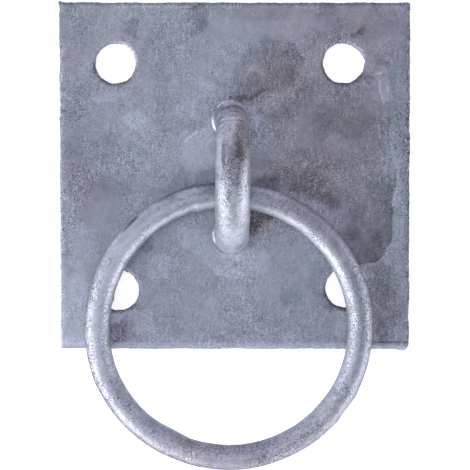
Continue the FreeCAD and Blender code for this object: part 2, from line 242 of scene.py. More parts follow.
# Where the skin is smooth, with hardly a fleck.
CALM_MARKS = {
    "top middle": (0.75, 0.25, (8.0, 43.0, 15.0, 4.5, 0), (18.0, 44.0, 10.0, 4.0, 0)),
    "top right": (0.5, 0.25, (38.0, 45.0, 14.0, 6.0, 0)),
    "left middle": (0.9, 0.30, (-37.0, -9.5, 5.2, 8.0, 0)),
    "inside the ring, right": (0.5, 0.25, (16.0, -30.0, 10.0, 12.0, 0)),
    "middle right": (0.35, 0.25, (30.0, 14.0, 12.0, 9.0, 0)),
    "left of the staple": (0.4, 0.25, (-10.0, 6.0, 5.0, 6.0, 0)),
    "inside the tide mark": (0.5, 0.25, (39.0, -16.0, 7.5, 9.0, 0)),
    "left of the pale patch": (0.3, 0.25, (-27.0, 14.0, 6.0, 6.0, 0)),
    "top left": (0.22, 0.40, (-25.0, 34.0, 22.0, 13.0, 0)),
}
# Where the skin is frayed. It is taken off calm, which may so go below 0 and strengthen the small marks.
FRAYED_MARKS = {
    "smudge in the ring": (0.35, 0.30, (-32.6, -44.6, 3.2, 4.0, 0)),
    "left edge": (0.5, 0.30, (-47.5, -14.0, 3.0, 12.0, 0)),
    "left edge, middle": (0.5, 0.40, (-43.5, -0.5, 4.0, 4.5, 0)),
    "corner beside the staple": (0.6, 0.30, (8.6, -12.0, 4.0, 3.0, 0)),
    "top right stroke": (0.8, 0.30, (36.2, 41.4, 4.0, 2.0, 35)),
    "behind the upper foot": (0.5, 0.40, (1.0, 22.6, 5.4, 1.6, 0)),
}
# Marks beside the blank's edges: how much they add to each mask, their edge, and in mm inside it where a band
# starts and is full, or a line's middle and reach. They keep to the face or run down the front too, and each
# pair at the end is a stretch of the edge over which they fade in.
EDGE_MARKS = {
    # This and the next are painted shade along the top edge's rounding, which faces away from the lamps, and
    # painted light at its very edge.
    "top edge's crest": ({"smoke_and_shade": 0.17, "frayed": 0.8}, "line", "top", (0.42, 0.30), "front", ()),
    "top edge's lip": ({"bloom_and_highlight": 0.16}, "band", "top", (0.5, 0.1), "front", ()),
    "under the top edge": ({"smoke_and_shade": 0.07}, "band", "top", (1.9, 1.1), "face", ()),
    # This and the next are painted shade on the right edge, away from the key lamp, with frayed flecks on its
    # lip.
    "right edge's lip": ({"smoke_and_shade": 0.07, "frayed": 1.3}, "band", "right", (0.9, 0.3), "front", ()),
    "right edge": ({"smoke_and_shade": 0.07}, "band", "right", (2.1, 1.3), "front", ()),
    # Painted light on the left edge, which faces the key lamp, with frayed flecks.
    "left edge's glow": ({"bloom_and_highlight": 0.21, "frayed": 1.3}, "band", "left", (2.0, 0.0), "front", ((46, 26),)),
    # This and the next four are painted highlights on the lower bead and the rounded lower edge, which face
    # the low lamps.
    "lower bead": ({"bloom_and_highlight": 0.10}, "band", "bottom", (1.2, 0.6), "face", ()),
    "lower bead, right end": ({"bloom_and_highlight": 0.20}, "band", "bottom", (1.2, 0.6), "face", ((35, 38),)),
    "along the lower bead": ({"bloom_and_highlight": 0.18}, "line", "bottom", (1.2, 0.45), "face", ((38, 35),)),
    "lower edge": ({"bloom_and_highlight": 0.10}, "band", "bottom", (0.9, 0.2), "front", ((-44, -30),)),
    "lower edge, long part": ({"bloom_and_highlight": 0.17}, "band", "bottom", (0.9, 0.2), "front", ((-44, -30), (38, 35))),
    "lower edge's rim": ({"smoke_and_shade": 0.10}, "band", "bottom", (0.3, -0.05), "front", ((-38, -30), (38, 35))),
    "lower left corner": ({"bloom_and_highlight": 0.07}, "band", "bottom", (4.0, 2.8), "face", ((-36, -39),)),
}
# A dark line that wavers above the lower right corner, and a pale one with gaps below the top edge.
CORNER_LINE = 1.75
CORNER_LINE_WAVES = ((0.5, 4.0, 19),)
CORNER_LINE_FADE = (0.36, 0.08)
CORNER_LINE_FROM = (35, 38)
CORNER_LINE_SMOKE = 0.28
PALE_LINE = (1.3, 0.32)
PALE_LINE_WAVES = ((1.0, 5.0, 18),)
PALE_LINE_GAPS = (-0.25, 0.15)
PALE_LINE_BLOOM = 0.16
# Bright scratches: left of the upper foot, round the upper right hole, on the left edge, in the ring and by
# the top edge.
SCRATCHES = (
    ((-14.4, 11.4), (-12.8, 12.9)), ((-13.2, 9.9), (-11.4, 11.7), (-9.8, 13.0)),
    ((39.2, 29.8), (40.7, 28.6), (43.2, 29.5)), ((38.1, 26.6), (39.5, 25.5)),
    ((42.6, 27.6), (42.9, 24.4), (43.6, 21.2)), ((42.4, 14.1), (42.7, 10.6)),
    ((-47.6, 23.8), (-46.5, 22.6)), ((-23.3, -38.8), (-22.8, -39.4)), ((24.7, 47.1), (25.5, 47.4)),
)
SCRATCH_FADE = (0.40, 0.05)
SCRATCH_BLOOM = 0.25
# Round a fixing hole the rim has painted shade on its lower side and a painted highlight on its upper one,
# where its rounding faces away from the lamps and toward them. Its lip has deeper painted shade on the lower
# side, and a painted highlight and frayed flecks on the torn one. They fade in by mm outside the hole and by
# side, where the lower side is tilted a little to the left.
HOLE_RIM = (1.5, 0.3)
HOLE_LIP = (1.2, 0.5)
LOW_SIDE_TILT = 0.3
RIM_LOW = (-0.1, 0.8)
RIM_HIGH = (0.2, 0.9)
LIP_LOW = (0.1, 0.7)
RIM_PAINTED_SHADE = 0.16
RIM_PAINTED_HIGHLIGHT = 0.10
LIP_PAINTED_SHADE = {(-1, 1): 0.17, (1, 1): 0.14, (-1, -1): 0.10, (1, -1): 0.22}
LIP_PAINTED_HIGHLIGHT = 0.24
LIP_FRAYED = 0.8
TORN_LIP_FRAYED = 1.6
# The tide mark on the right, where a wet patch dried: its line, and in mm to its left its core's middle and
# reach, and where the dried skin fades in and out. Both fade out upwards.
TIDE_LINE = (
    (47.2, 7.8), (48.0, 2.1), (47.7, -2.8), (46.9, -7.4), (46.8, -12.2), (46.7, -17.2), (45.9, -20.8),
    (44.3, -23.7), (41.6, -25.3), (37.8, -25.9),
)
TIDE_WIDTH = 0.9
TIDE_RISE = 0.10
TIDE_BLOOM = 0.10
TIDE_CORE = (0.7, 0.5)
TIDE_CORE_SMOKE = 0.08
DRIED_FROM = (0.1, 0.7)
DRIED_TO = (13.0, 4.0)
DRIED_SMOKE = 0.22
TIDE_TOP = (4.0, -6.0)
# The puddle of zinc that set inside the ring: middle and reach, then as shares of that reach where it falls
# away, and its rim's middle and width. The rim shows below the puddle's middle only.
POOL = (2.6, -24.0, 9.4, 5.6)
POOL_FALL = (1.06, 0.9)
POOL_RISE = 0.10
POOL_RIM = (0.97, 0.045)
POOL_RIM_BELOW = (1.0, -1.5)
POOL_RIM_BLOOM = 0.10
# Fine streaks along the right edge: where they fade in, and how wide and long their grain is.
STREAKS_X = (42.5, 45.0)
STREAKS_Y = ((-47, -40), (34, 26))
STREAK_WIDTH = 0.9
STREAK_LENGTH = 9.0
STREAK_SEED = 13
STREAK_RISE = 0.05
STREAK_BLOOM = 0.10
DARKEST_STREAK = -0.5
# The bead of zinc on the face's lower edge: where it fades in above that edge, and its rise.
LOWER_BEAD = (1.2, 0.6)
LOWER_BEAD_RISE = 0.13
# How firmly a mark's lobes keep apart. With less they would melt into one.
LOBE_MELT = 7
# Where the zinc's cast starts, and how far the smoke_and_shade mask, stains and painted shade alike, turns it
# to violet and brown.
CLEAN_CAST = 0.18
PLATE_SMOKE_AND_SHADE_CAST = 0.34


def linear(hex_colour):
    """A colour written as sRGB hex, as the linear RGBA that Blender's sockets take."""
    channels = [int(hex_colour[i:i + 2], 16) / 255 for i in (1, 3, 5)]
    return [c / 12.92 if c <= 0.04045 else ((c + 0.055) / 1.055) ** 2.4 for c in channels] + [1.0]


def add_node(tree, kind, feeds=None, **settings):
    """One node with its settings. feeds gives its inputs: a value, a node or one output of a node."""
    node = tree.nodes.new(kind)
    for name, value in settings.items():
        setattr(node, name, value)
    for name, feed in (feeds or {}).items():
        if isinstance(feed, bpy.types.Node):
            feed = feed.outputs[0]
        if isinstance(feed, bpy.types.NodeSocket):
            tree.links.new(feed, node.inputs[name])
        else:
            node.inputs[name].default_value = feed
    return node


def wander(points, size, seed):
    """Smooth noise between about -1 and 1 at each point, with swells of that size in mm."""
    shift = Vector((seed * 17.3, seed * 5.9, seed * 11.1))
    return np.array([noise.noise(Vector(p) / size + shift) for p in points])


def waves(points, swells):
    """The sum of swells, each given by its height and its size in mm and its seed."""
    return sum(height * wander(points, size, seed) for height, size, seed in swells)


def smooth_step(value, start, end):
    """0 up to start, 1 from end on, and a smooth rise between. start may be the greater of the two."""
    share = np.clip((value - start) / (end - start), 0, 1)
    return share * share * (3 - 2 * share)


def swell(distance, reach):
    """1 where the distance is 0, falling smoothly to almost nothing at twice the reach."""
    return np.exp(-(distance / reach) ** 2)


def torn_share(right, up):
    """How far a direction out of a fixing hole points to its torn side."""
    return smooth_step(TORN_SIDE[0] * right + TORN_SIDE[1] * up, *TORN_FADE)


def mark_strength(x, y, marks):
    """How strongly the marks of a list cover each point. A mark's lobes melt into one another."""
    total = np.zeros(len(x))
    for strength, softness, *lobes in marks.values():
        nearness = np.zeros(len(x))
        for centre_x, centre_y, reach_x, reach_y, turn in lobes:
            c, s = math.cos(math.radians(turn)), math.sin(math.radians(turn))
            along = (c * (x - centre_x) + s * (y - centre_y)) / reach_x
            across = (c * (y - centre_y) - s * (x - centre_x)) / reach_y
            nearness += np.exp(-LOBE_MELT * np.hypot(along, across))
        total += strength * smooth_step(-np.log(nearness + 1e-30) / LOBE_MELT, 1 + softness, 1 - softness)
    return total


def beside_line(x, y, line):
    """How far each point lies from a line of given points: more than 0 to its right, less to its left."""
    nearest = np.full(len(x), 1e9)
    side = np.ones(len(x))
    for (ax, ay), (bx, by) in zip(line, line[1:]):
        length = math.hypot(bx - ax, by - ay)
        along = np.clip(((x - ax) * (bx - ax) + (y - ay) * (by - ay)) / length ** 2, 0, 1)
        distance = np.hypot(x - ax - along * (bx - ax), y - ay - along * (by - ay))
        right = (x - ax) * (by - ay) - (y - ay) * (bx - ax)
        side = np.where(distance < nearest, np.sign(right), side)
        nearest = np.minimum(nearest, distance)
    return nearest * side


# The dashes are drawn out up and down the plate, as its zinc ran: how far places are squeezed for it. The
# turn comes after that, so it only picks another part of the noise.
RUN_SQUEEZE = 0.28
RUN_TURN = -52
# Sizes in mm of the areas over which the small marks strengthen and weaken, and over which the cast drifts.
COARSE_SIZE = 15
DRIFT_SIZE = 9
# Ranges of a noise: where the small marks strengthen, where a dark and a light mark start and are full, and
# where the gloss goes from its least to its most.
COARSE_RANGE = (0.40, 0.62)
DARK_RANGE = (0.57, 0.66)
LIGHT_RANGE = (0.43, 0.34)
GLOSS_RANGE = (0.3, 0.7)
# How far the drift and the blotches sway the cast, and the colours that it runs through, from clean to
# stained.
DRIFT_SHARE = 0.95
BLOTCH_DRIFT_SHARE = 0.7
CAST_COLOURS = ((0.0, "#D9E3F8"), (0.45, "#E0E1FB"), (0.75, "#E8E4F6"), (1.0, "#EDE8EE"))


def hot_dip_zinc(name, tones, cloud, blotch, grain, flecks, dashes, patchy, roughness, relief, metallic, rim):
    """The zinc coat of a hot-dipped fitting. tones run from its darkest to its brightest grey.

    cloud, blotch and grain are (size in mm, share of the tone range); flecks and dashes are small crisp
    marks, (size in mm, share that darkens, share that lightens); patchy is how strong the small marks are
    where they are weakest and strongest; roughness is (least, most); relief is the height in mm of the grain;
    metallic is how much bare zinc shows through its dull patina; rim tints what it reflects at a flat angle.
    The mesh's masks smoke_and_shade and bloom_and_highlight darken and lighten it: with stains and carbonate
    bloom, and with painted shade and painted highlights where the lamps fall. calm weakens the small marks,
    and stain turns its cast from the pale blue of clean zinc through violet to the warmer grey of old grease
    and weld soot.
    """
    material = bpy.data.materials.new(name)
    material.use_nodes = True
    tree = material.node_tree
    tree.nodes.clear()
    place = add_node(tree, "ShaderNodeTexCoord").outputs["Object"]
    masks = {
        label: add_node(tree, "ShaderNodeAttribute", attribute_name=label).outputs["Fac"]
        for label in ("smoke_and_shade", "bloom_and_highlight", "stain", "calm")
    }
    drawn_out = add_node(
        tree, "ShaderNodeMapping",
        {"Vector": place, "Rotation": (0, 0, math.radians(RUN_TURN)), "Scale": (1, RUN_SQUEEZE, 1)},
    )
    coarse_spots = add_node(
        tree, "ShaderNodeTexNoise",
        {"Vector": place, "Scale": 1 / (COARSE_SIZE * MM), "Detail": 4.0, "Roughness": 0.75},
    )
    coarseness = add_node(
        tree, "ShaderNodeMapRange",
        {"Value": coarse_spots, "From Min": COARSE_RANGE[0], "From Max": COARSE_RANGE[1],
         "To Min": patchy[0], "To Max": patchy[1]},
    )
    liveliness = add_node(tree, "ShaderNodeMath", {0: 1.0, 1: masks["calm"]}, operation="SUBTRACT")
    coarseness = add_node(tree, "ShaderNodeMath", {0: coarseness, 1: liveliness}, operation="MULTIPLY")
    tone = add_node(tree, "ShaderNodeMath", {0: masks["bloom_and_highlight"], 1: masks["smoke_and_shade"]}, operation="SUBTRACT")
    tone = add_node(tree, "ShaderNodeMath", {0: tone, 1: 0.5}, operation="ADD")
    fields = {}
    for label, (size, share), detail in (
        ("cloud", cloud, 5.0), ("blotch", blotch, 4.0), ("grain", grain, 3.0),
    ):
        fields[label] = add_node(
            tree, "ShaderNodeTexNoise",
            {"Vector": place, "Scale": 1 / (size * MM), "Detail": detail, "Roughness": 0.65,
             "Distortion": 0.6},
        )
        centred = add_node(tree, "ShaderNodeMath", {0: fields[label], 1: 0.5}, operation="SUBTRACT")
        if label == "grain":
            centred = add_node(tree, "ShaderNodeMath", {0: centred, 1: coarseness}, operation="MULTIPLY")
        tone = add_node(tree, "ShaderNodeMath", {0: centred, 1: share, 2: tone}, operation="MULTIPLY_ADD")
    for label, (size, darkening, lightening), vector in (
        ("flecks", flecks, place), ("dashes", dashes, drawn_out),
    ):
        fields[label] = add_node(
            tree, "ShaderNodeTexNoise",
            {"Vector": vector, "Scale": 1 / (size * MM), "Detail": 2.0, "Roughness": 0.5},
        )
        for (edge, core), share in ((DARK_RANGE, -darkening), (LIGHT_RANGE, lightening)):
            mark = add_node(
                tree, "ShaderNodeMapRange",
                {"Value": fields[label], "From Min": edge, "From Max": core, "To Max": share},
            )
            tone = add_node(
                tree, "ShaderNodeMath", {0: mark, 1: coarseness, 2: tone}, operation="MULTIPLY_ADD"
            )
    drift = add_node(
        tree, "ShaderNodeTexNoise",
        {"Vector": place, "Scale": 1 / (DRIFT_SIZE * MM), "Detail": 5.0, "Roughness": 0.7},
    )
    cast = masks["stain"]
    for field, share in ((drift, DRIFT_SHARE), (fields["blotch"], BLOTCH_DRIFT_SHARE)):
        centred = add_node(tree, "ShaderNodeMath", {0: field, 1: 0.5}, operation="SUBTRACT")
        cast = add_node(tree, "ShaderNodeMath", {0: centred, 1: share, 2: cast}, operation="MULTIPLY_ADD")
    ramps = []
    greys = [(i / (len(tones) - 1), colour) for i, colour in enumerate(tones)]
    for feed, stops in ((tone, greys), (cast, CAST_COLOURS)):
        ramps.append(add_node(tree, "ShaderNodeValToRGB", {"Fac": feed}))
        elements = ramps[-1].color_ramp.elements
        for position, _ in stops[1:-1]:
            elements.new(position)
        for element, (_, colour) in zip(elements, stops):
            element.color = linear(colour)
    colour = add_node(
        tree, "ShaderNodeMix", {"Factor": 1.0, 6: ramps[0], 7: ramps[1]},
        data_type="RGBA", blend_type="MULTIPLY",
    ).outputs[2]
    gloss = add_node(
        tree, "ShaderNodeMapRange",
        {"Value": fields["blotch"], "From Min": GLOSS_RANGE[0], "From Max": GLOSS_RANGE[1],
         "To Min": roughness[0], "To Max": roughness[1]},
    )
    height = add_node(
        tree, "ShaderNodeMath", {0: fields["flecks"], 1: coarseness, 2: fields["blotch"]},
        operation="MULTIPLY_ADD",
    )
    bump = add_node(tree, "ShaderNodeBump", {"Height": height, "Strength": 1.0, "Distance": relief * MM})
    shader = add_node(
        tree, "ShaderNodeBsdfPrincipled",
        {"Base Color": colour, "Metallic": metallic, "Roughness": gloss, "Specular Tint": linear(rim),
         "Normal": bump},
    )
    add_node(tree, "ShaderNodeOutputMaterial", {"Surface": shader})
    return material


# Weathered hot-dip galvanising on flat plate: the zinc has gone matt and blue-grey, with smoky purple-brown
# stains and paler carbonate bloom in patches of 5 to 20 mm. The real specks of its grain are about a tenth of
# a millimetre and wouldn't show, so grain and flecks are drawn at 0.4 mm, as coarse as they need to be.
plate_zinc = hot_dip_zinc(
    "hot_dip_galvanised_plate",
    tones=("#606060", "#8A8A8A", "#B3B3B3", "#D4D4D4", "#F4F4F4"),
    cloud=(9.0, 0.30), blotch=(2.4, 0.42), grain=(0.40, 1.0),
    flecks=(0.45, 0.14, 0.12), dashes=(0.6, 0.07, 0.10),
    patchy=(0.5, 1.35), roughness=(0.46, 0.62), relief=0.06, metallic=0.8, rim="#B0B2B8",
)


def blank_outline(inset):
    """The sheared outline moved in by inset, anticlockwise, with as many points whatever the inset."""
    sides = []
    for start, end in zip(corners, corners[1:] + corners[:1]):
        start, end = np.array(start), np.array(end)
        along = (end - start) / np.linalg.norm(end - start)
        sides.append((start + inset * np.array((-along[1], along[0])), along))
    moved = []
    roundings = []
    for (before_start, before), (start, along), radius in zip(sides[-1:] + sides[:-1], sides, CORNER_RADIUS):
        gap = start - before_start
        reach = (gap[0] * along[1] - gap[1] * along[0]) / (before[0] * along[1] - before[1] * along[0])
        moved.append(before_start + reach * before)
        radius = max(radius - inset, SHARPEST_CORNER)
        turn = math.acos(np.clip(before @ along, -1, 1))
        roundings.append((radius, turn, radius * math.tan(turn / 2)))
    points = []
    for i, (radius, turn, back) in enumerate(roundings):
        before, along = sides[i - 1][1], sides[i][1]
        arc_start = moved[i] - back * before
        middle = arc_start + radius * np.array((-before[1], before[0]))
        start_angle = math.atan2(*(arc_start - middle)[::-1])
        for k in range(CORNER_STEPS):
            angle = start_angle + turn * k / (CORNER_STEPS - 1)
            points.append(middle + radius * np.array((math.cos(angle), math.sin(angle))))
        edge_start = moved[i] + back * along
        edge_end = moved[(i + 1) % 4] - roundings[(i + 1) % 4][2] * along
        for k in range(1, edge_counts[i]):
            points.append(edge_start + (edge_end - edge_start) * k / edge_counts[i])
    return np.array(points)


def outward_of(loop):
    """Unit vectors that point out of an anticlockwise loop, or into a clockwise one's hole."""
    along = np.roll(loop, -1, axis=0) - np.roll(loop, 1, axis=0)
    along /= np.linalg.norm(along, axis=1)[:, None]
    return np.stack((along[:, 1], -along[:, 0]), axis=1)


def lace(first_ring, second_ring):
    """The faces between two closed rows of as many points."""
    after = list(range(1, len(first_ring))) + [0]
    return [(first_ring[i], second_ring[i], second_ring[k], first_ring[k]) for i, k in enumerate(after)]


# The grid that fills the face and the back: how far its points stray, and how far they keep from the outline,
# from its box and from a hole, all as shares of the pitch. The outline is taken as this many straight
# stretches, and any shorter than the shortest, as at its corners, don't count.
GRID_JITTER = 0.22
GRID_EDGE_ROOM = 0.55
GRID_SIDE_ROOM = 1.2
GRID_HOLE_ROOM = 0.5
GRID_STRETCHES = 64
SHORTEST_STRETCH = 4


def fill_flat(loops, pitch, centres, rng):
    """Fill the first loop, outside the other ones, with triangles on a jittered grid.

    Returns the grid's points and the triangles, which number the loops' points first and then the grid's.
    """
    outer = loops[0]
    low, high = outer.min(axis=0), outer.max(axis=0)
    xs = np.arange(low[0] + pitch / 2, high[0], pitch)
    ys = np.arange(low[1] + pitch / 2, high[1], pitch)
    grid = np.array([(x, y) for y in ys for x in xs])
    grid += rng.uniform(-GRID_JITTER, GRID_JITTER, grid.shape) * pitch
    room = GRID_SIDE_ROOM * pitch
    keep = ((grid > low + room) & (grid < high - room)).all(axis=1)
    coarse = outer[np.linspace(0, len(outer), GRID_STRETCHES, endpoint=False).astype(int)]
    for (ax, ay), (bx, by) in zip(coarse, np.roll(coarse, -1, axis=0)):
        length = math.hypot(bx - ax, by - ay)
        if length > SHORTEST_STRETCH:
            inside = ((bx - ax) * (grid[:, 1] - ay) - (by - ay) * (grid[:, 0] - ax)) / length
            keep &= inside > GRID_EDGE_ROOM * pitch
    for (cx, cy), loop in zip(centres, loops[1:]):
        reach = np.hypot(loop[:, 0] - cx, loop[:, 1] - cy).max()
        keep &= np.hypot(grid[:, 0] - cx, grid[:, 1] - cy) > reach + GRID_HOLE_ROOM * pitch
    grid = grid[keep]
    edges = []
    start = 0
    for loop in loops:
        edges += [(start + i, start + (i + 1) % len(loop)) for i in range(len(loop))]
        start += len(loop)
    points, _, faces, origins, _, _ = geometry.delaunay_2d_cdt(
        [Vector(p) for p in np.concatenate(loops + [grid])], edges, [], 1, 1e-5
    )
    source = [found[0] for found in origins]
    middles = np.array([sum((points[i] for i in face), Vector((0, 0))) / 3 for face in faces])
    open_air = np.zeros(len(faces), bool)
    for (cx, cy), loop in zip(centres, loops[1:]):
        rim_turns = np.arctan2(loop[:, 1] - cy, loop[:, 0] - cx)
        turns = np.arctan2(middles[:, 1] - cy, middles[:, 0] - cx)
        rim_reach = np.hypot(loop[:, 0] - cx, loop[:, 1] - cy)
        edge = np.interp(turns, rim_turns, rim_reach, period=2 * math.pi)
        open_air |= np.hypot(middles[:, 0] - cx, middles[:, 1] - cy) < edge
    return grid, [[source[i] for i in face] for face, hole in zip(faces, open_air) if not hole]


def circle_loop(centre, radius, count):
    """Points clockwise round a hole."""
    angles = -np.arange(count) * 2 * math.pi / count
    return np.stack((centre[0] + radius * np.cos(angles), centre[1] + radius * np.sin(angles)), axis=1)


plate_low, plate_high = (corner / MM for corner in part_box("back_plate"))
thickness = plate_high.z
fixing = frame["record"]["mounts"][0]["dims"]
half_pattern = fixing["spacing_x_mm"] / 2
square = (
    (plate_low.x, plate_low.y), (plate_high.x, plate_low.y),
    (plate_high.x, plate_high.y), (plate_low.x, plate_high.y),
)
corners = [(x + dx, y + dy) for (x, y), (dx, dy) in zip(square, CORNER_DRIFT)]
edge_counts = [
    int(math.dist(start, end) / PLATE_MESH_PITCH) for start, end in zip(corners, corners[1:] + corners[:1])
]
outer_edge = blank_outline(0)
outward = outward_of(outer_edge)
edge_places = [(x, y, 0) for x, y in outer_edge]
waviness = waves(edge_places, EDGE_WAVES)
lower_run = smooth_step(-outward[:, 1], *LOWER_EDGE) * (LOWER_RUN + waves(edge_places, LOWER_RUN_WAVES))
drip, nib = (
    height * swell(np.hypot(outer_edge[:, 0] - x, outer_edge[:, 1] - y), reach)
    for x, y, reach, height in (DRIP, NIB)
)

plate_points = []
plate_faces = []
front_loops = []
back_loops = []
front_rings = []
back_rings = []


def add_points(rows):
    """Add points given as x, y, z and return their numbers."""
    start = len(plate_points)
    plate_points.extend(rows)
    return list(range(start, len(plate_points)))


def add_wall(loops, profile):
    """Add a wall of one loop for each depth of its profile, and note its ends for the face and the back."""
    rings = [
        add_points([(x, y, thickness - depth) for x, y in loop]) for loop, (_, depth) in zip(loops, profile)
    ]
    for first, second in zip(rings, rings[1:]):
        plate_faces.extend(lace(first, second))
    front_loops.append(loops[0])
    back_loops.append(loops[-1])
    front_rings.append(rings[0])
    back_rings.append(rings[-1])


edge_loops = []
for inset, depth in EDGE_PROFILE:
    spread = 1 - inset / EDGE_PROFILE[0][0]
    section = math.sin(math.pi * min(1, depth / thickness + LOWER_RUN_LIFT))
    swelling = waviness + (lower_run + drip) * section + nib * (depth < NIB_DEPTH)
    edge_loops.append(blank_outline(inset) + outward * (swelling * spread)[:, None])
add_wall(edge_loops, EDGE_PROFILE)

leg_low, leg_high = (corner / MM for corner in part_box("staple"))
leg_place = leg_high.y - (leg_high.x - leg_low.x) / 2
fixing_holes = [
    ((sx * half_pattern + dx, sy * half_pattern + dy), fixing["hole_r_mm"])
    for (sx, sy), (dx, dy) in HOLE_DRIFT.items()
]
for centre, radius in fixing_holes:
    count = int(2 * math.pi * radius / PLATE_MESH_PITCH)
    hole_loops = []
    for widening, depth in HOLE_PROFILE:
        loop = circle_loop(centre, radius + widening, count)
        at_depth = [(x, y, depth * WALL_GRAIN) for x, y in loop]
        toward = (loop - centre) / (radius + widening)
        wobble = waves(at_depth, HOLE_WAVES) + torn_share(*toward.T) * waves(at_depth, TORN_WAVES)
        if min(centre) > 0:
            turned = np.degrees(np.arctan2(toward[:, 1], toward[:, 0]))
            for middle, reach, nick in HOLE_NICKS:
                wobble += nick * swell(turned - middle, reach)
        hole_loops.append(loop + toward * wobble[:, None] * (1 - widening / HOLE_PROFILE[0][0]))
    add_wall(hole_loops, HOLE_PROFILE)
leg_centres = [(0, side * leg_place) for side in (1, -1)]
for centre in leg_centres:
    count = int(2 * math.pi * LEG_HOLE_RADIUS / PLATE_MESH_PITCH)
    add_wall(
        [circle_loop(centre, LEG_HOLE_RADIUS + widening, count) for widening, _ in LEG_HOLE_PROFILE],
        LEG_HOLE_PROFILE,
    )

hole_centres = [centre for centre, _ in fixing_holes] + leg_centres
random_places = np.random.default_rng(PLATE_MESH_SEED)
for loops, rings, pitch, height, turned in (
    (front_loops, front_rings, PLATE_MESH_PITCH, thickness, False),
    (back_loops, back_rings, PLATE_BACK_PITCH, 0, True),
):
    grid, triangles = fill_flat(loops, pitch, hole_centres, random_places)
    numbers = [number for ring in rings for number in ring] + add_points([(x, y, height) for x, y in grid])
    for triangle in triangles:
        corner_numbers = [numbers[i] for i in triangle]
        plate_faces.append(corner_numbers[::-1] if turned else corner_numbers)

plate_mesh = bpy.data.meshes.new("plate")
plate_mesh.from_pydata(plate_points, [], plate_faces)
plate_mesh.update()


def mesh_arrays(mesh):
    """The vertices and their normals, in the mesh's own unit."""
    co = np.zeros(len(mesh.vertices) * 3, np.float32)
    normals = np.zeros(len(mesh.vertices) * 3, np.float32)
    mesh.vertices.foreach_get("co", co)
    mesh.vertices.foreach_get("normal", normals)
    return co.reshape(-1, 3).astype(float), normals.reshape(-1, 3).astype(float)


def move_skin(mesh, co):
    """Move the vertices of a mesh to places given in mm."""
    mesh.vertices.foreach_set("co", (co * MM).astype(np.float32).ravel())
    mesh.update()


def store_mask(mesh, name, values):
    """Store one value for each vertex, for the material or the sweep to read."""
    mask = mesh.attributes.new(name, "FLOAT", "POINT")
    mask.data.foreach_set("value", np.asarray(values, np.float32))


co, normals = mesh_arrays(plate_mesh)
x, y, z = co.T
on_face = smooth_step(z - thickness, *FACE_FADE) * (normals[:, 2] > 0)
skin = waves(co, SKIN_WAVES) + waves(co, FACE_WAVES) * on_face
warp_x = waves(co, WARP_X)
warp_y = waves(co, WARP_Y)
warped_x = x + warp_x
warped_y = y + warp_y
pool_x = (x + POOL_WARP * warp_x - POOL[0]) / POOL[2]
pool_y = (y + POOL_WARP * warp_y - POOL[1]) / POOL[3]
pool_reach = np.hypot(pool_x, pool_y)
tide_side = beside_line(x + TIDE_WARP * warp_x, y + TIDE_WARP * warp_y, TIDE_LINE)
tide = smooth_step(np.abs(tide_side), TIDE_WIDTH, 0)
tide_end = smooth_step(y, *TIDE_TOP)
dried = smooth_step(tide_side, *DRIED_FROM) * smooth_step(tide_side, *DRIED_TO) * tide_end
streaks = wander([(px / STREAK_WIDTH, py / STREAK_LENGTH, 0) for px, py, _ in co], 1.0, STREAK_SEED)
streak_band = smooth_step(warped_x, *STREAKS_X)
for fade in STREAKS_Y:
    streak_band *= smooth_step(warped_y, *fade)
above_bottom = y - np.interp(x, (corners[0][0], corners[1][0]), (corners[0][1], corners[1][1]))
skin += on_face * (POOL_RISE * smooth_step(pool_reach, *POOL_FALL) + TIDE_RISE * tide)
skin += on_face * STREAK_RISE * streak_band * streaks
skin += on_face * smooth_step(above_bottom, *LOWER_BEAD) * (LOWER_BEAD_RISE + waves(co, BEAD_SKIN_WAVES))
pimple_rng = random.Random(PIMPLE_SEED)
for _ in range(PIMPLE_COUNT):
    px = pimple_rng.uniform(plate_low.x, plate_high.x)
    py = pimple_rng.uniform(plate_low.y, plate_high.y)
    reach = pimple_rng.uniform(*PIMPLE_REACH)
    skin += on_face * pimple_rng.uniform(*PIMPLE_HEIGHT) * swell(np.hypot(x - px, y - py), reach)
# This moves x, y and z too, because they are views of the same places.
co += normals * skin[:, None]
move_skin(plate_mesh, co)

on_front = smooth_step(z - thickness, *FRONT_FADE)
masks = {
    "smoke_and_shade": mark_strength(warped_x, warped_y, SMOKE_AND_SHADOW_MARKS) * on_front,
    "bloom_and_highlight": mark_strength(warped_x, warped_y, BLOOM_AND_LIGHT_MARKS) * on_front,
    "frayed": mark_strength(warped_x, warped_y, FRAYED_MARKS),
}
for (cx, cy), radius in fixing_holes:
    reach = np.hypot(x - cx, y - cy)
    rim = smooth_step(reach - radius, *HOLE_RIM) * on_front
    lip = smooth_step(reach - radius, *HOLE_LIP) * on_front
    low_side = (cy - y - LOW_SIDE_TILT * (x - cx)) / reach
    torn = torn_share((x - cx) / reach, (y - cy) / reach)
    lip_painted_shade = LIP_PAINTED_SHADE[np.sign(cx), np.sign(cy)]
    # Painted shade on the lower side of rim and lip, painted highlights on the upper side and the torn lip.
    masks["smoke_and_shade"] += RIM_PAINTED_SHADE * rim * smooth_step(low_side, *RIM_LOW)
    masks["smoke_and_shade"] += lip_painted_shade * lip * smooth_step(low_side, *LIP_LOW)
    masks["bloom_and_highlight"] += RIM_PAINTED_HIGHLIGHT * rim * smooth_step(-low_side, *RIM_HIGH) + LIP_PAINTED_HIGHLIGHT * lip * torn
    masks["frayed"] += lip * (LIP_FRAYED + TORN_LIP_FRAYED * torn)
below_top = np.interp(x, (corners[3][0], corners[2][0]), (corners[3][1], corners[2][1])) - y
inside_edge = {
    "bottom": (above_bottom, x), "top": (below_top, x),
    "left": (x - plate_low.x, y), "right": (plate_high.x - x, y),
}
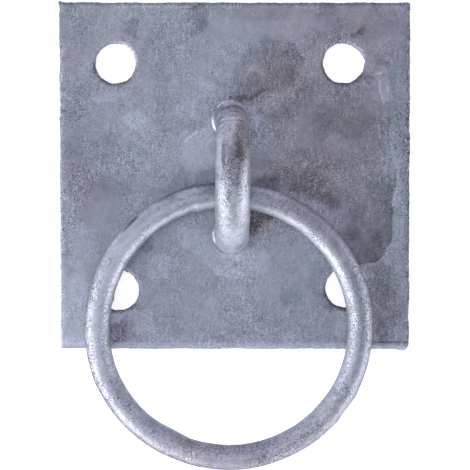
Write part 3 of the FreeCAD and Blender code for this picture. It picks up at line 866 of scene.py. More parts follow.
for shades, shape, edge, (first, second), skin_side, stretches in EDGE_MARKS.values():
    inside, along = inside_edge[edge]
    cover = smooth_step(inside, first, second) if shape == "band" else swell(inside - first, second)
    cover *= on_face if skin_side == "face" else on_front
    for stretch in stretches:
        cover *= smooth_step(along, *stretch)
    for label, strength in shades.items():
        masks[label] += strength * cover
corner_line = np.abs(above_bottom - CORNER_LINE - waves(co, CORNER_LINE_WAVES))
corner_line = smooth_step(corner_line, *CORNER_LINE_FADE) * smooth_step(x, *CORNER_LINE_FROM)
masks["smoke_and_shade"] += on_face * CORNER_LINE_SMOKE * corner_line
masks["smoke_and_shade"] += on_face * DRIED_SMOKE * dried
masks["smoke_and_shade"] += on_face * TIDE_CORE_SMOKE * swell(tide_side - TIDE_CORE[0], TIDE_CORE[1]) * tide_end
pool_rim = swell(pool_reach - POOL_RIM[0], POOL_RIM[1]) * smooth_step(y - POOL[1], *POOL_RIM_BELOW)
masks["bloom_and_highlight"] += on_face * (POOL_RIM_BLOOM * pool_rim + TIDE_BLOOM * tide)
masks["bloom_and_highlight"] += on_face * STREAK_BLOOM * streak_band * np.clip(streaks, DARKEST_STREAK, 1)
pale_line = swell(below_top - PALE_LINE[0], PALE_LINE[1])
pale_line *= smooth_step(waves(co, PALE_LINE_WAVES), *PALE_LINE_GAPS)
masks["bloom_and_highlight"] += on_face * PALE_LINE_BLOOM * pale_line
for scratch in SCRATCHES:
    aside = np.abs(beside_line(x + SCRATCH_WARP * warp_x, y + SCRATCH_WARP * warp_y, scratch))
    masks["bloom_and_highlight"] += on_face * SCRATCH_BLOOM * smooth_step(aside, *SCRATCH_FADE)
masks["stain"] = CLEAN_CAST + mark_strength(warped_x, warped_y, CAST_MARKS) * on_front
masks["stain"] += PLATE_SMOKE_AND_SHADE_CAST * masks["smoke_and_shade"]
masks["calm"] = mark_strength(warped_x, warped_y, CALM_MARKS) - masks.pop("frayed")
for label, values in masks.items():
    store_mask(plate_mesh, label, values)
plate_mesh.polygons.foreach_set("use_smooth", [True] * len(plate_mesh.polygons))
plate_mesh.materials.append(plate_zinc)
plate_mesh.update()
plate = bpy.data.objects.new("plate_in_zinc", plate_mesh)
bpy.context.collection.objects.link(plate)
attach(plate, "plate_with_staple")
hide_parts("back_plate")


# Staple
# A 9.5 mm round bar, cut to length and bent hot to a half round on two short straight legs. The legs go
# through the plate and end flush with its back.
STAPLE_STEP = 0.33
STAPLE_FACETS = 90
# How far the bar leans at its top, sideways and lengthways, how fast that sets in up the bar, and how much
# farther its upper half leans.
STAPLE_LEAN = (0.3, -0.5)
LEAN_CURVE = 1.3
UPPER_LEAN = 0.45
UPPER_LEAN_FADE = (0, 10)
# Both feet of the bend stand a little lower on the plate than the legs under them: by how much, and where
# that sets in, away from the middle and above the plate's face.
UPPER_SET_BACK = 0.6
UPPER_SET_BACK_RISE = (1, 6)
LOWER_SET_OUT = 0.65
LOWER_SET_OUT_RISE = (0.5, 5)
FOOT_FADE = (9, 15)
# The bar is a little thicker than its size, for its zinc, and thinner where it was bent hardest. The lumps of
# its coat set in between these heights above the face.
STAPLE_ROD_SHARE = 1.02
UPPER_THINNING = 0.03
THINNED_FROM = (4, 11)
THINNED_RISE = 6
COAT_RISE = (0.2, 2.0)
# The bar wrinkled on the outside of its upper bend, between these turns up from the bend's foot, in degrees.
# The wrinkles have gaps, run askew and curve down the bar's flanks, with painted shade in their hollows and
# painted highlights on their crests.
WRINKLE_PITCH = 2.1
WRINKLE_HEIGHT = 0.11
WRINKLE_START = (4, 12)
WRINKLE_END = (50, 38)
WRINKLE_GAPS = ((1.0, 2.6, 33),)
WRINKLE_GAP_FADE = (-0.3, 0.3)
WRINKLE_WAVES = ((0.5, 2.4, 34),)
WRINKLE_CURVE = 0.05
WRINKLE_HOLLOW = (0.2, 0.9)
WRINKLE_PAINTED_SHADE = 0.20
WRINKLE_CREST = (0.3, 0.9)
WRINKLE_PAINTED_HIGHLIGHT = 0.10
# The sawn end of a leg, domed by its zinc: how high above the back, and what share of the rod's radius it is
# there. The path goes on in even steps from the start.
SAW_END = (
    (0.0, 0.02), (0.004, 0.30), (0.008, 0.60), (0.014, 0.82), (0.03, 0.93), (0.14, 0.975), (0.36, 0.985),
)
LEG_START = 0.7
# Painted shade on the staple: its upper half and right flank, which face away from the lamps, the middle of
# the bar and the left flank low down. The line down the left flank is a dark mark.
STAPLE_SMOKE_AND_SHADE = {
    "upper half": (0.04, 0.30, (0.6, 11.0, 3.4, 8.0, 0)),
    "upper bend": (0.10, 0.40, (0.6, 19.2, 3.6, 1.5, 0)),
    "dark right flank": (0.23, 0.35, (2.8, 9.2, 2.0, 5.8, 0)),
    "middle of the bar": (0.18, 0.40, (0.8, 2.4, 2.6, 6.0, 0)),
    "line down the left flank": (0.30, 0.35, (-2.4, 5.6, 0.5, 4.2, 0)),
    "low on the left flank": (0.08, 0.40, (-3.0, 0.0, 1.4, 2.4, 0)),
    "middle, low": (0.03, 0.45, (1.1, -9.5, 1.5, 6.0, 0)),
}
# Painted highlights where the lower half, its flanks and the lower foot face the low lamps; the upper bend is
# paler.
STAPLE_BLOOM_AND_HIGHLIGHTS = {
    "lower left": (0.03, 0.45, (-3.2, -12.5, 1.9, 8.0, 0)),
    "lower right": (0.20, 0.45, (3.6, -10.5, 1.2, 6.0, 0)),
    "lower foot": (0.25, 0.45, (-0.4, -20.2, 6.0, 5.0, 0)),
    "lower foot's rim": (0.40, 0.40, (-0.6, -22.2, 4.6, 1.5, 0)),
    "left flank": (0.09, 0.40, (-3.8, 6.5, 1.0, 4.6, 0)),
    "right flank": (0.10, 0.40, (3.2, -0.6, 1.0, 3.4, 0)),
    "middle, low": (0.05, 0.45, (1.0, -9.0, 2.0, 5.0, 0)),
    "upper bend": (0.08, 0.40, (-0.8, 16.6, 2.6, 2.2, 0)),
}
STAPLE_CAST = {
    "upper half": (0.50, 0.50, (1.6, 12.0, 3.4, 9.0, 0)),
    "left band, low": (0.12, 0.40, (-2.6, -9.0, 2.4, 7.0, 0)),
    "lower half": (-0.06, 0.40, (1.0, -10.0, 4.6, 9.0, 0)),
}
STAPLE_FRAYED = {
    "middle": (0.1, 0.40, (0.6, -1.0, 4.2, 4.5, 0)),
    "lower half": (0.10, 0.40, (1.7, -8.5, 2.9, 7.0, 0)),
    "left band, low": (0.2, 0.40, (-3.0, -5.5, 1.8, 5.0, 0)),
    "dark right flank": (0.5, 0.40, (2.6, 8.0, 2.4, 7.0, 0)),
}
STAPLE_CALM = {
    "lower foot": (0.5, 0.50, (-1.0, -17.5, 3.6, 4.0, 0)),
    "left band": (0.5, 0.50, (-3.4, 6.0, 1.4, 4.0, 0)),
}
# A shallow oval graze on top of the bar: centre, then reach across and along. Its rim is darkest on its lower
# left, and its inside is smooth and pale.
GRAZE = (0.3, -6.1, 1.1, 1.8)
GRAZE_RIM_WIDTH = 0.17
GRAZE_RIM_SIDE = (1.0, 0.5)
GRAZE_RIM_FADE = (-0.6, 0.5)
GRAZE_RIM_LEAST = 0.2
GRAZE_RIM_SMOKE = 0.30
GRAZE_FADE = (1.5, 1.0)
GRAZE_CALM = 0.6
GRAZE_BLOOM = 0.10
# A painted highlight: a glint along the rim on the back of the upper bend. Its place from the leg, how far in
# from the bar's outside it fades in, then where it fades in with the turn round the bar in degrees and with
# the height.
BRIGHT_RIM = (0.7, -0.55)
BRIGHT_RIM_FADE = (-0.55, -0.30)
BRIGHT_RIM_START = (25, 40)
BRIGHT_RIM_END = (130, 115)
BRIGHT_RIM_RISE = (-2.5, -1.5)
RIM_GLINT_SHADES = {"bloom_and_highlight": 0.8, "stain": 0.3, "calm": -1.0}
# How far the smoke_and_shade mask, dark marks and painted shade alike, turns the rods' cast to violet.
ROD_SMOKE_AND_SHADE_CAST = 0.4
WEATHER_SIZE = 2.4


def bent_rod_tree():
    """Nodes that sweep a round rod along a path, with the lumps and pimples that its zinc coat has."""
    tree = bpy.data.node_groups.new("zinc coated rod on a path", "GeometryNodeTree")
    for name, kind in (
        ("Path", "NodeSocketGeometry"), ("Rod Radius", "NodeSocketFloat"), ("Facets Around", "NodeSocketInt"),
        ("Lump Size", "NodeSocketFloat"), ("Lump Height", "NodeSocketFloat"),
        ("Pimple Size", "NodeSocketFloat"), ("Pimple Height", "NodeSocketFloat"),
        ("Seed", "NodeSocketFloat"), ("Finish", "NodeSocketMaterial"),
    ):
        tree.interface.new_socket(name=name, in_out="INPUT", socket_type=kind)
    tree.interface.new_socket(name="Rod", in_out="OUTPUT", socket_type="NodeSocketGeometry")
    given = add_node(tree, "NodeGroupInput").outputs
    curve = add_node(tree, "GeometryNodeMeshToCurve", {"Mesh": given["Path"]})
    section = add_node(
        tree, "GeometryNodeCurvePrimitiveCircle",
        {"Resolution": given["Facets Around"], "Radius": given["Rod Radius"]},
    )
    fullness, coated = (
        add_node(tree, "GeometryNodeInputNamedAttribute", {"Name": name}, data_type="FLOAT")
        for name in ("fullness", "coated")
    )
    rod = add_node(
        tree, "GeometryNodeCurveToMesh",
        {"Curve": curve, "Profile Curve": section, "Scale": fullness, "Fill Caps": True},
    )
    place = add_node(tree, "GeometryNodeInputPosition")
    normal = add_node(tree, "GeometryNodeInputNormal")
    height = 0.0
    for label, detail in (("Lump", 2.0), ("Pimple", 1.0)):
        scale = add_node(tree, "ShaderNodeMath", {0: 1.0, 1: given[label + " Size"]}, operation="DIVIDE")
        field = add_node(
            tree, "ShaderNodeTexNoise",
            {"Vector": place, "W": given["Seed"], "Scale": scale, "Detail": detail, "Roughness": 0.5},
            noise_dimensions="4D",
        )
        centred = add_node(tree, "ShaderNodeMath", {0: field, 1: 0.5}, operation="SUBTRACT")
        height = add_node(
            tree, "ShaderNodeMath", {0: centred, 1: given[label + " Height"], 2: height},
            operation="MULTIPLY_ADD",
        )
    height = add_node(tree, "ShaderNodeMath", {0: height, 1: coated}, operation="MULTIPLY")
    offset = add_node(tree, "ShaderNodeVectorMath", {0: normal, "Scale": height}, operation="SCALE")
    rod = add_node(tree, "GeometryNodeSetPosition", {"Geometry": rod, "Offset": offset})
    rod = add_node(tree, "GeometryNodeSetShadeSmooth", {"Geometry": rod})
    rod = add_node(tree, "GeometryNodeRealizeInstances", {"Geometry": rod})
    rod = add_node(tree, "GeometryNodeSetMaterial", {"Geometry": rod, "Material": given["Finish"]})
    add_node(tree, "NodeGroupOutput", {"Rod": rod})
    return tree


rod_tree = bent_rod_tree()


def sweep_rod(name, path, fullness, coated, closed, sizes):
    """A rod on a path of points in mm. fullness scales its radius along the path, coated its lumps."""
    mesh = bpy.data.meshes.new(name)
    edges = [(i, i + 1) for i in range(len(path) - 1)] + ([(len(path) - 1, 0)] if closed else [])
    mesh.from_pydata([Vector(p) * MM for p in path], edges, [])
    store_mask(mesh, "fullness", fullness)
    store_mask(mesh, "coated", coated)
    piece = bpy.data.objects.new(name, mesh)
    bpy.context.collection.objects.link(piece)
    sweep = piece.modifiers.new("sweep", "NODES")
    sweep.node_group = rod_tree
    for item in rod_tree.interface.items_tree:
        if item.in_out == "INPUT" and item.name in sizes:
            sweep[item.identifier] = sizes[item.name]
    evaluated = piece.evaluated_get(bpy.context.evaluated_depsgraph_get())
    swept = bpy.data.meshes.new_from_object(evaluated)
    piece.modifiers.clear()
    piece.data = swept
    bpy.data.meshes.remove(mesh)
    swept.name = name
    return piece


def shade_mask(mesh, name, values):
    """Add values to a mask that the mesh already has."""
    mask = mesh.attributes[name]
    had = np.zeros(len(values), np.float32)
    mask.data.foreach_get("value", had)
    mask.data.foreach_set("value", had + np.asarray(values, np.float32))


def weather(piece, smoke_and_shade_marks, bloom_and_light_marks, cast_marks, calm_marks, frayed_marks, wander_reach, seed):
    """Store the masks of a piece from marks placed in plan, in mm, with borders that wander that far."""
    co = mesh_arrays(piece.data)[0] / MM
    x = co[:, 0] + wander_reach * wander(co, WEATHER_SIZE, seed)
    y = co[:, 1] + wander_reach * wander(co, WEATHER_SIZE, seed + 1)
    smoke_and_shade = mark_strength(x, y, smoke_and_shade_marks)
    store_mask(piece.data, "smoke_and_shade", smoke_and_shade)
    store_mask(piece.data, "bloom_and_highlight", mark_strength(x, y, bloom_and_light_marks))
    store_mask(piece.data, "stain", CLEAN_CAST + mark_strength(x, y, cast_marks) + ROD_SMOKE_AND_SHADE_CAST * smoke_and_shade)
    store_mask(piece.data, "calm", mark_strength(x, y, calm_marks) - mark_strength(x, y, frayed_marks))


# Hot-dip galvanising on drawn round rod: brighter than on the plate, because the zinc ran off it and handling
# keeps it rubbed, with a lumpy skin and a fine sparkle of zinc crystals.
rod_zinc = hot_dip_zinc(
    "hot_dip_galvanised_rod",
    tones=("#5A5A5A", "#929292", "#C2C2C2", "#DEDEDE", "#F8F8F8"),
    cloud=(7.0, 0.30), blotch=(2.2, 0.40), grain=(0.42, 1.1),
    flecks=(0.48, 0.23, 0.19), dashes=(0.8, 0.06, 0.06),
    patchy=(0.4, 1.4), roughness=(0.38, 0.54), relief=0.17, metallic=0.6, rim="#8C8F96",
)

rod_radius = (leg_high.x - leg_low.x) / 2
bend_radius = leg_place
bend_height = leg_high.z - rod_radius - bend_radius
half = [(leg_place, rise, share) for rise, share in SAW_END]
half += [(leg_place, rise, 1.0) for rise in np.arange(LEG_START, bend_height, STAPLE_STEP)]
half += [
    (bend_radius * math.cos(turn), bend_height + bend_radius * math.sin(turn), 1.0)
    for turn in np.linspace(0, math.pi / 2, int(bend_radius * math.pi / 2 / STAPLE_STEP), endpoint=False)
]
whole = half + [(0, leg_high.z - rod_radius, 1.0)] + [(-py, pz, share) for py, pz, share in half[::-1]]
path_y, path_z, end_share = np.array(whole).T
risen = path_z - thickness
lean = np.maximum(0, risen / (leg_high.z - thickness)) ** LEAN_CURVE
aside = STAPLE_LEAN[0] + UPPER_LEAN * smooth_step(path_y, *UPPER_LEAN_FADE)
back = UPPER_SET_BACK * smooth_step(path_y, *FOOT_FADE) * smooth_step(risen, *UPPER_SET_BACK_RISE)
back += LOWER_SET_OUT * smooth_step(-path_y, *FOOT_FADE) * smooth_step(risen, *LOWER_SET_OUT_RISE)
thinned = smooth_step(path_y, *THINNED_FROM) * smooth_step(path_z - bend_height, 0, THINNED_RISE)
staple = sweep_rod(
    "staple_in_zinc", np.stack((aside * lean, path_y + STAPLE_LEAN[1] * lean - back, path_z), axis=1),
    end_share * np.where(risen > 0, STAPLE_ROD_SHARE - UPPER_THINNING * thinned, 1.0),
    smooth_step(risen, *COAT_RISE), False,
    {"Rod Radius": rod_radius * MM, "Facets Around": STAPLE_FACETS,
     "Lump Size": 5.0 * MM, "Lump Height": 0.35 * MM, "Pimple Size": 1.3 * MM, "Pimple Height": 0.16 * MM,
     "Seed": 3.0, "Finish": rod_zinc},
)

co, normals = mesh_arrays(staple.data)
co /= MM
turned = np.degrees(np.arctan2(co[:, 2] - bend_height, co[:, 1]))
wrinkled = smooth_step(turned, *WRINKLE_START) * smooth_step(turned, *WRINKLE_END)
wrinkled *= smooth_step(waves(co, WRINKLE_GAPS), *WRINKLE_GAP_FADE)
along = np.radians(turned) * bend_radius + waves(co, WRINKLE_WAVES) + WRINKLE_CURVE * co[:, 0] ** 2
wave = np.sin(2 * math.pi * along / WRINKLE_PITCH)
co += normals * (WRINKLE_HEIGHT * wrinkled * wave)[:, None]
move_skin(staple.data, co)
weather(
    staple, STAPLE_SMOKE_AND_SHADE, STAPLE_BLOOM_AND_HIGHLIGHTS, STAPLE_CAST, STAPLE_CALM, STAPLE_FRAYED, wander_reach=0.7, seed=31
)
shade_mask(staple.data, "smoke_and_shade", WRINKLE_PAINTED_SHADE * wrinkled * smooth_step(-wave, *WRINKLE_HOLLOW))
shade_mask(staple.data, "bloom_and_highlight", WRINKLE_PAINTED_HIGHLIGHT * wrinkled * smooth_step(wave, *WRINKLE_CREST))

graze_x = (co[:, 0] - GRAZE[0]) / GRAZE[2]
graze_y = (co[:, 1] - GRAZE[1]) / GRAZE[3]
graze_reach = np.hypot(graze_x, graze_y)
above_bend = co[:, 2] > bend_height
lower_left = smooth_step(-GRAZE_RIM_SIDE[0] * graze_x - GRAZE_RIM_SIDE[1] * graze_y, *GRAZE_RIM_FADE)
graze_rim = swell(graze_reach - 1, GRAZE_RIM_WIDTH) * above_bend
graze_rim *= GRAZE_RIM_LEAST + (1 - GRAZE_RIM_LEAST) * lower_left
in_graze = smooth_step(graze_reach, *GRAZE_FADE) * above_bend
shade_mask(staple.data, "smoke_and_shade", GRAZE_RIM_SMOKE * graze_rim)
shade_mask(staple.data, "calm", GRAZE_CALM * in_graze)
shade_mask(staple.data, "bloom_and_highlight", GRAZE_BLOOM * in_graze)

# The painted glint along the rim on the back of the upper bend.
rim_x = co[:, 0] - BRIGHT_RIM[0]
rim_y = co[:, 1] - leg_place - BRIGHT_RIM[1]
rim_turn = np.degrees(np.arctan2(rim_y, rim_x))
rim_glint = smooth_step(np.hypot(rim_x, rim_y) - rod_radius, *BRIGHT_RIM_FADE)
rim_glint *= smooth_step(rim_turn, *BRIGHT_RIM_START) * smooth_step(rim_turn, *BRIGHT_RIM_END)
rim_glint *= smooth_step(co[:, 2] - bend_height, *BRIGHT_RIM_RISE)
for label, strength in RIM_GLINT_SHADES.items():
    shade_mask(staple.data, label, strength * rim_glint)
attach(staple, "plate_with_staple")
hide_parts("staple")


# Foot welds
# One small fillet bead round each leg where it enters the plate's face, laid before the dip. The zinc filled
# its ripples and stands up most on the left, where it drained. The bright crescent on its left and the pale
# arc over the upper one's top are painted highlights.
BEAD_STEP = 0.16
BEAD_ROWS = 9
# The bead's section: how deep its root sits in leg and plate, how hollow its face is, how far it still
# reaches where it turns down to the root, how high it climbs for its width, and how far it laps into the leg.
BEAD_ROOT = 0.25
BEAD_HOLLOW = 1.5
BEAD_END = 0.9
BEAD_CLIMB = 0.9
BEAD_LAP = 0.03
# The ripples of the bead: their pitch in mm, how much they widen it, as a share, and how far their pitch
# drifts round it. Its skin has lumps too, as swells.
BEAD_RIPPLE = 2.3
RIPPLE_SHARE = 0.06
RIPPLE_DRIFT = 2.0
BEAD_LUMPS = ((0.07, 1.1, 51), (0.04, 0.5, 53))
# How wide each bead is, in mm, with the turn in degrees from its right side anticlockwise.
BEAD_WIDTH = {
    "upper_foot_weld": (
        (0, 0.50), (40, 0.55), (90, 0.60), (120, 0.80), (150, 0.84), (180, 0.88), (205, 0.98), (225, 1.10),
        (246, 1.1), (262, 0.45), (320, 0.45),
    ),
    "lower_foot_weld": (
        (0, 0.40), (60, 0.45), (120, 0.60), (150, 0.90), (180, 1.15), (200, 1.00), (222, 0.55), (245, 0.30),
        (320, 0.30),
    ),
}
# Painted highlights: the bright crescents on the beads' left sides and the pale arc over the upper one's top.
WELD_PAINTED_HIGHLIGHTS = {
    "upper weld, left": (0.26, 0.40, (-5.2, 13.6, 1.7, 2.2, 0)),
    "upper weld, top": (0.22, 0.40, (0.6, 21.4, 5.0, 1.2, 0)),
    "lower weld, left": (0.18, 0.40, (-5.4, -16.8, 1.6, 4.6, 0)),
}
WELD_SMOKE = {"upper weld, upper left": (0.12, 0.45, (-5.0, 18.2, 2.2, 2.4, 0))}
WELD_FRAYED = {"upper weld, top": (1.2, 0.40, (-1.0, 21.0, 6.5, 2.6, 0))}
# The upper bead's painted highlight along its crest: how far out from the leg it lies, its width, and its
# turns in degrees.
CREST_PLACE = 0.05
CREST_WIDTH = 0.16
CREST_START = (35, 55)
CREST_END = (150, 130)
CREST_PAINTED_HIGHLIGHT = 0.9

# The same zinc over weld metal: a little brighter than on the rod, with fainter flecks and dashes.
weld_zinc = hot_dip_zinc(
    "hot_dip_galvanised_weld",
    tones=("#626262", "#9A9A9A", "#C8C8C8", "#E4E4E4", "#FAFAFA"),
    cloud=(5.0, 0.30), blotch=(1.6, 0.40), grain=(0.5, 0.6),
    flecks=(0.6, 0.16, 0.12), dashes=(0.8, 0.04, 0.04),
    patchy=(0.6, 1.2), roughness=(0.38, 0.54), relief=0.05, metallic=0.6, rim="#8C8F96",
)
for side, node in ((1, "upper_foot_weld"), (-1, "lower_foot_weld")):
    count = int(2 * math.pi * rod_radius / BEAD_STEP)
    turns = np.arange(count) * 2 * math.pi / count
    width = np.interp(np.degrees(turns), *zip(*BEAD_WIDTH[node]), period=360)
    ripple_count = round(2 * math.pi * rod_radius / BEAD_RIPPLE)
    width *= 1 + RIPPLE_SHARE * np.sin(turns * ripple_count + RIPPLE_DRIFT * np.sin(turns))
    section = [
        (math.cos(turn) ** BEAD_HOLLOW, math.sin(turn) ** BEAD_HOLLOW)
        for turn in np.linspace(math.pi / 2, 0, BEAD_ROWS)
    ]
    section = [(-BEAD_ROOT, BEAD_END)] + section + [(BEAD_END, -BEAD_ROOT), (-BEAD_ROOT, -BEAD_ROOT)]
    bead_points = []
    bead_rings = []
    for out, up in section:
        bead_rings.append(range(len(bead_points), len(bead_points) + count))
        for turn, reach in zip(turns, width):
            radius = rod_radius - BEAD_LAP + (out * reach if out > 0 else out)
            rise = BEAD_CLIMB * reach * up if up > 0 else up
            bead_points.append(
                (radius * math.cos(turn), side * leg_place + radius * math.sin(turn), thickness + rise)
            )
    bead_faces = []
    for first, second in zip(bead_rings, bead_rings[1:] + bead_rings[:1]):
        bead_faces += lace(first, second)
    bead_mesh = bpy.data.meshes.new(node + "_in_zinc")
    bead_mesh.from_pydata(bead_points, [], bead_faces)
    bead_mesh.update()
    co, normals = mesh_arrays(bead_mesh)
    lumps = waves(co, [(height, size, seed + side) for height, size, seed in BEAD_LUMPS])
    move_skin(bead_mesh, co + normals * lumps[:, None])
    bead_mesh.polygons.foreach_set("use_smooth", [True] * len(bead_mesh.polygons))
    bead_mesh.materials.append(weld_zinc)
    bead_mesh.update()
    weld = bpy.data.objects.new(node + "_in_zinc", bead_mesh)
    bpy.context.collection.objects.link(weld)
    weather(weld, WELD_SMOKE, WELD_PAINTED_HIGHLIGHTS, {}, {}, WELD_FRAYED, wander_reach=0.4, seed=35)
    if side > 0:
        above_leg = co[:, 1] - leg_place
        around = np.degrees(np.arctan2(above_leg, co[:, 0]))
        crest = swell(np.hypot(co[:, 0], above_leg) - rod_radius - CREST_PLACE, CREST_WIDTH)
        crest *= smooth_step(around, *CREST_START) * smooth_step(around, *CREST_END)
        shade_mask(bead_mesh, "bloom_and_highlight", CREST_PAINTED_HIGHLIGHT * crest)
    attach(weld, "plate_with_staple")
    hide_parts(node)


# Ring
# One 7 mm round rod, rolled to a circle inside the staple and butt-welded shut at its upper left, so it is
# captive and loose. It isn't quite round: the stretch by the weld is flatter, and the lower left stands out.
RING_STEP = 0.36
RING_FACETS = 62
# How far the rod's middle is from a true circle, in mm, with the angle in degrees clockwise from the top.
RING_BEND = (
    (0, -0.55), (30, -0.68), (60, -0.60), (80, -0.40), (95, -0.22), (110, -0.02), (136, 0.12), (160, 0.22),
    (180, 0.34), (205, 0.33), (225, 0.48), (252, 0.53), (270, 0.20), (285, 0.02), (300, -0.06), (320, -0.04),
    (335, -0.14), (343, -0.18),
)
BEND_SMOOTHING = 17
RING_ROD_SHARE = 1.03
# The butt weld: its angle, then the offset between the rod's two ends, with the reach in degrees of its step
# and of its fading, then how much fuller the rod is, and how far, for the bead and for the upset ends.
BUTT_WELD_ANGLE = 346
BUTT_OFFSET = (0.14, 0.7, 9)
BUTT_BEAD = (0.035, 1.4)
BUTT_UPSET = (0.012, 7)
# Lumps and hollows in its zinc: the angle, the turn from the rod's outer side over its top, reach and height.
RING_LUMPS = (
    (211, 176, 4.0, 0.40), (206, 176, 2.5, 0.15), (283, 178, 1.1, 0.30), (120, 0, 2.2, 0.22),
    (316, 8, 1.6, -0.20), (318, 20, 0.9, -0.10), (341, 40, 1.8, 0.26), (347, 45, 1.6, 0.30),
    (336, 35, 1.4, 0.18), (345, 178, 1.2, 0.22), (19, 40, 1.2, 0.12), (14, 48, 1.0, 0.12),
    (99, 80, 1.5, 0.10), (247, 10, 2.6, 0.14), (128, 4, 1.3, -0.24), (124, 102, 1.4, 0.20),
    (133, 0, 1.8, 0.12),
)
# Painted shade on the ring under the staple and on its bottom stretch's inner edge, which faces away from the
# lamps.
RING_PAINTED_SHADE = {
    "under the staple": (0.10, 0.50, (0.0, -5.2, 6.0, 4.4, 0)),
    "bottom inner edge": (0.08, 0.50, (0.0, -76.0, 15.0, 1.8, 0)),
}
# Paler stretches of the ring; the one on its left side is a painted highlight where it faces the key lamp.
RING_BLOOM_AND_LIGHT = {
    "weld ridge": (0.20, 0.40, (-11.6, -4.4, 4.4, 1.1, 15)),
    "right of the staple": (0.12, 0.40, (12.6, -5.2, 4.4, 1.2, -18)),
    "left side": (0.08, 0.50, (-39.6, -47.0, 3.2, 13.0, 0)),
}
# Bands along the rod: painted highlights on its flanks where they face the lamps and painted shade where they
# face away, with a dark pit, and stretches where its coat is smooth or stained. Each has its strength, place
# across the rod from -1 at its inner side to 1 at its outer side, width, then the stretch's middle and reach
# in degrees. A band is full up to its core, a share of that reach.
RING_BANDS = {
    "bloom_and_highlight": (
        (0.30, -0.80, 0.28, 0, 62), (0.17, -0.72, 0.20, 302, 46), (0.16, -0.55, 0.25, 90, 50),
        (0.14, 0.90, 0.25, 318, 20), (0.12, 0.30, 0.35, 205, 40), (0.12, -0.45, 0.30, 308, 24),
        (0.13, 0.30, 0.30, 248, 36), (0.12, -0.42, 0.30, 274, 34), (0.03, 0.10, 0.90, 300, 22),
        (0.27, -0.78, 0.34, 46, 38), (0.06, -0.20, 0.90, 103, 24), (0.08, -0.85, 0.30, 128, 30),
        (0.06, 0.30, 0.35, 280, 26), (0.15, -0.64, 0.22, 346, 15),
    ),
    "smoke_and_shade": (
        (0.24, 1.00, 0.26, 238, 70), (0.10, -0.95, 0.16, 180, 90), (0.16, 0.05, 0.26, 70, 75),
        (0.05, 0.00, 1.20, 180, 24), (0.08, -0.85, 0.16, 338, 22), (0.06, 0.95, 0.20, 165, 60),
        (0.08, 0.95, 0.22, 104, 26), (0.09, 0.45, 0.45, 348, 13), (0.04, 0.00, 1.00, 84, 26),
        (0.04, 0.35, 0.40, 20, 50), (0.06, -0.05, 0.30, 255, 40), (0.50, 0.84, 0.11, 316.5, 5.5),
        (0.03, -0.10, 0.60, 345, 17), (0.20, 0.92, 0.30, 344, 16), (0.05, 0.60, 0.45, 158, 30),
        (0.06, 0.15, 0.40, 138, 26),
    ),
    "calm": (
        (0.5, -0.02, 0.26, 275, 60), (0.7, 0.05, 0.28, 75, 55), (0.7, 0.25, 0.50, 325, 35),
        (0.3, 0.3, 0.5, 25, 35), (-0.8, 0.62, 0.34, 272, 38), (-0.6, -0.60, 0.24, 75, 65),
        (-0.7, -0.74, 0.24, 290, 50), (-0.1, 0.20, 0.80, 225, 40), (-0.2, 0.00, 0.90, 180, 50),
        (-0.4, 0.75, 0.30, 100, 50), (-0.4, 0.10, 0.80, 135, 30),
    ),
    "stain": ((0.40, 0.00, 1.40, 180, 42), (0.28, 0.30, 0.90, 32, 44), (-0.25, -0.75, 0.40, 36, 40)),
}
BAND_CORE = 0.45
# How far the bands stray along the ring, in degrees, and across its rod, as swells.
BAND_TURN_WAVES = ((4, 5.0, 43),)
BAND_ACROSS_WAVES = ((0.12, 2.5, 44),)


def turned_from(angle, middle):
    """The turn in degrees from a middle to each angle, the short way round."""
    return (angle - middle + 180) % 360 - 180


def band_strength(across, angle, bands):
    """How strongly bands along the ring's rod cover each point of its skin."""
    total = np.zeros(len(across))
    for strength, place, width, middle, reach in bands:
        apart = np.abs(turned_from(angle, middle))
        total += strength * swell(across - place, width) * smooth_step(apart, reach, BAND_CORE * reach)
    return total


def on_ring(angle, around):
    """A point on the ring's rod in mm, given as its lumps are."""
    turn = math.radians(90 - angle)
    reach = ring_radius + ring_rod * math.cos(math.radians(around))
    height = ring_rod * math.sin(math.radians(around))
    return ring_middle + Vector((reach * math.cos(turn), reach * math.sin(turn), height))


ring_low, ring_high = (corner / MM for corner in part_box("ring"))
ring_middle = (ring_low + ring_high) / 2
ring_rod = (ring_high.z - ring_low.z) / 2
ring_radius = (ring_high.x - ring_low.x) / 2 - ring_rod
count = int(2 * math.pi * ring_radius / RING_STEP)
angles = np.arange(count) * 360 / count
bend = np.interp(angles, *zip(*RING_BEND), period=360)
window = np.hanning(2 * BEND_SMOOTHING + 1)
bend = np.concatenate((bend[-BEND_SMOOTHING:], bend, bend[:BEND_SMOOTHING]))
bend = np.convolve(bend, window / window.sum(), "valid")
from_weld = turned_from(angles, BUTT_WELD_ANGLE)
bend += BUTT_OFFSET[0] * np.tanh(-from_weld / BUTT_OFFSET[1]) * swell(from_weld, BUTT_OFFSET[2])
fullness = RING_ROD_SHARE + BUTT_BEAD[0] * swell(from_weld, BUTT_BEAD[1])
fullness += BUTT_UPSET[0] * swell(from_weld, BUTT_UPSET[1])
turns = np.radians(90 - angles)
path_reach = ring_radius + bend
ring = sweep_rod(
    "ring_in_zinc",
    [ring_middle + Vector((r * math.cos(turn), r * math.sin(turn), 0)) for r, turn in zip(path_reach, turns)],
    fullness, np.ones(count), True,
    {"Rod Radius": ring_rod * MM, "Facets Around": RING_FACETS,
     "Lump Size": 6.0 * MM, "Lump Height": 0.30 * MM, "Pimple Size": 1.2 * MM, "Pimple Height": 0.14 * MM,
     "Seed": 11.0, "Finish": rod_zinc},
)
co, normals = mesh_arrays(ring.data)
co /= MM
push = np.zeros(len(co))
for angle, around, reach, height in RING_LUMPS:
    push += height * swell(np.linalg.norm(co - np.array(on_ring(angle, around)), axis=1), reach)
move_skin(ring.data, co + normals * push[:, None])

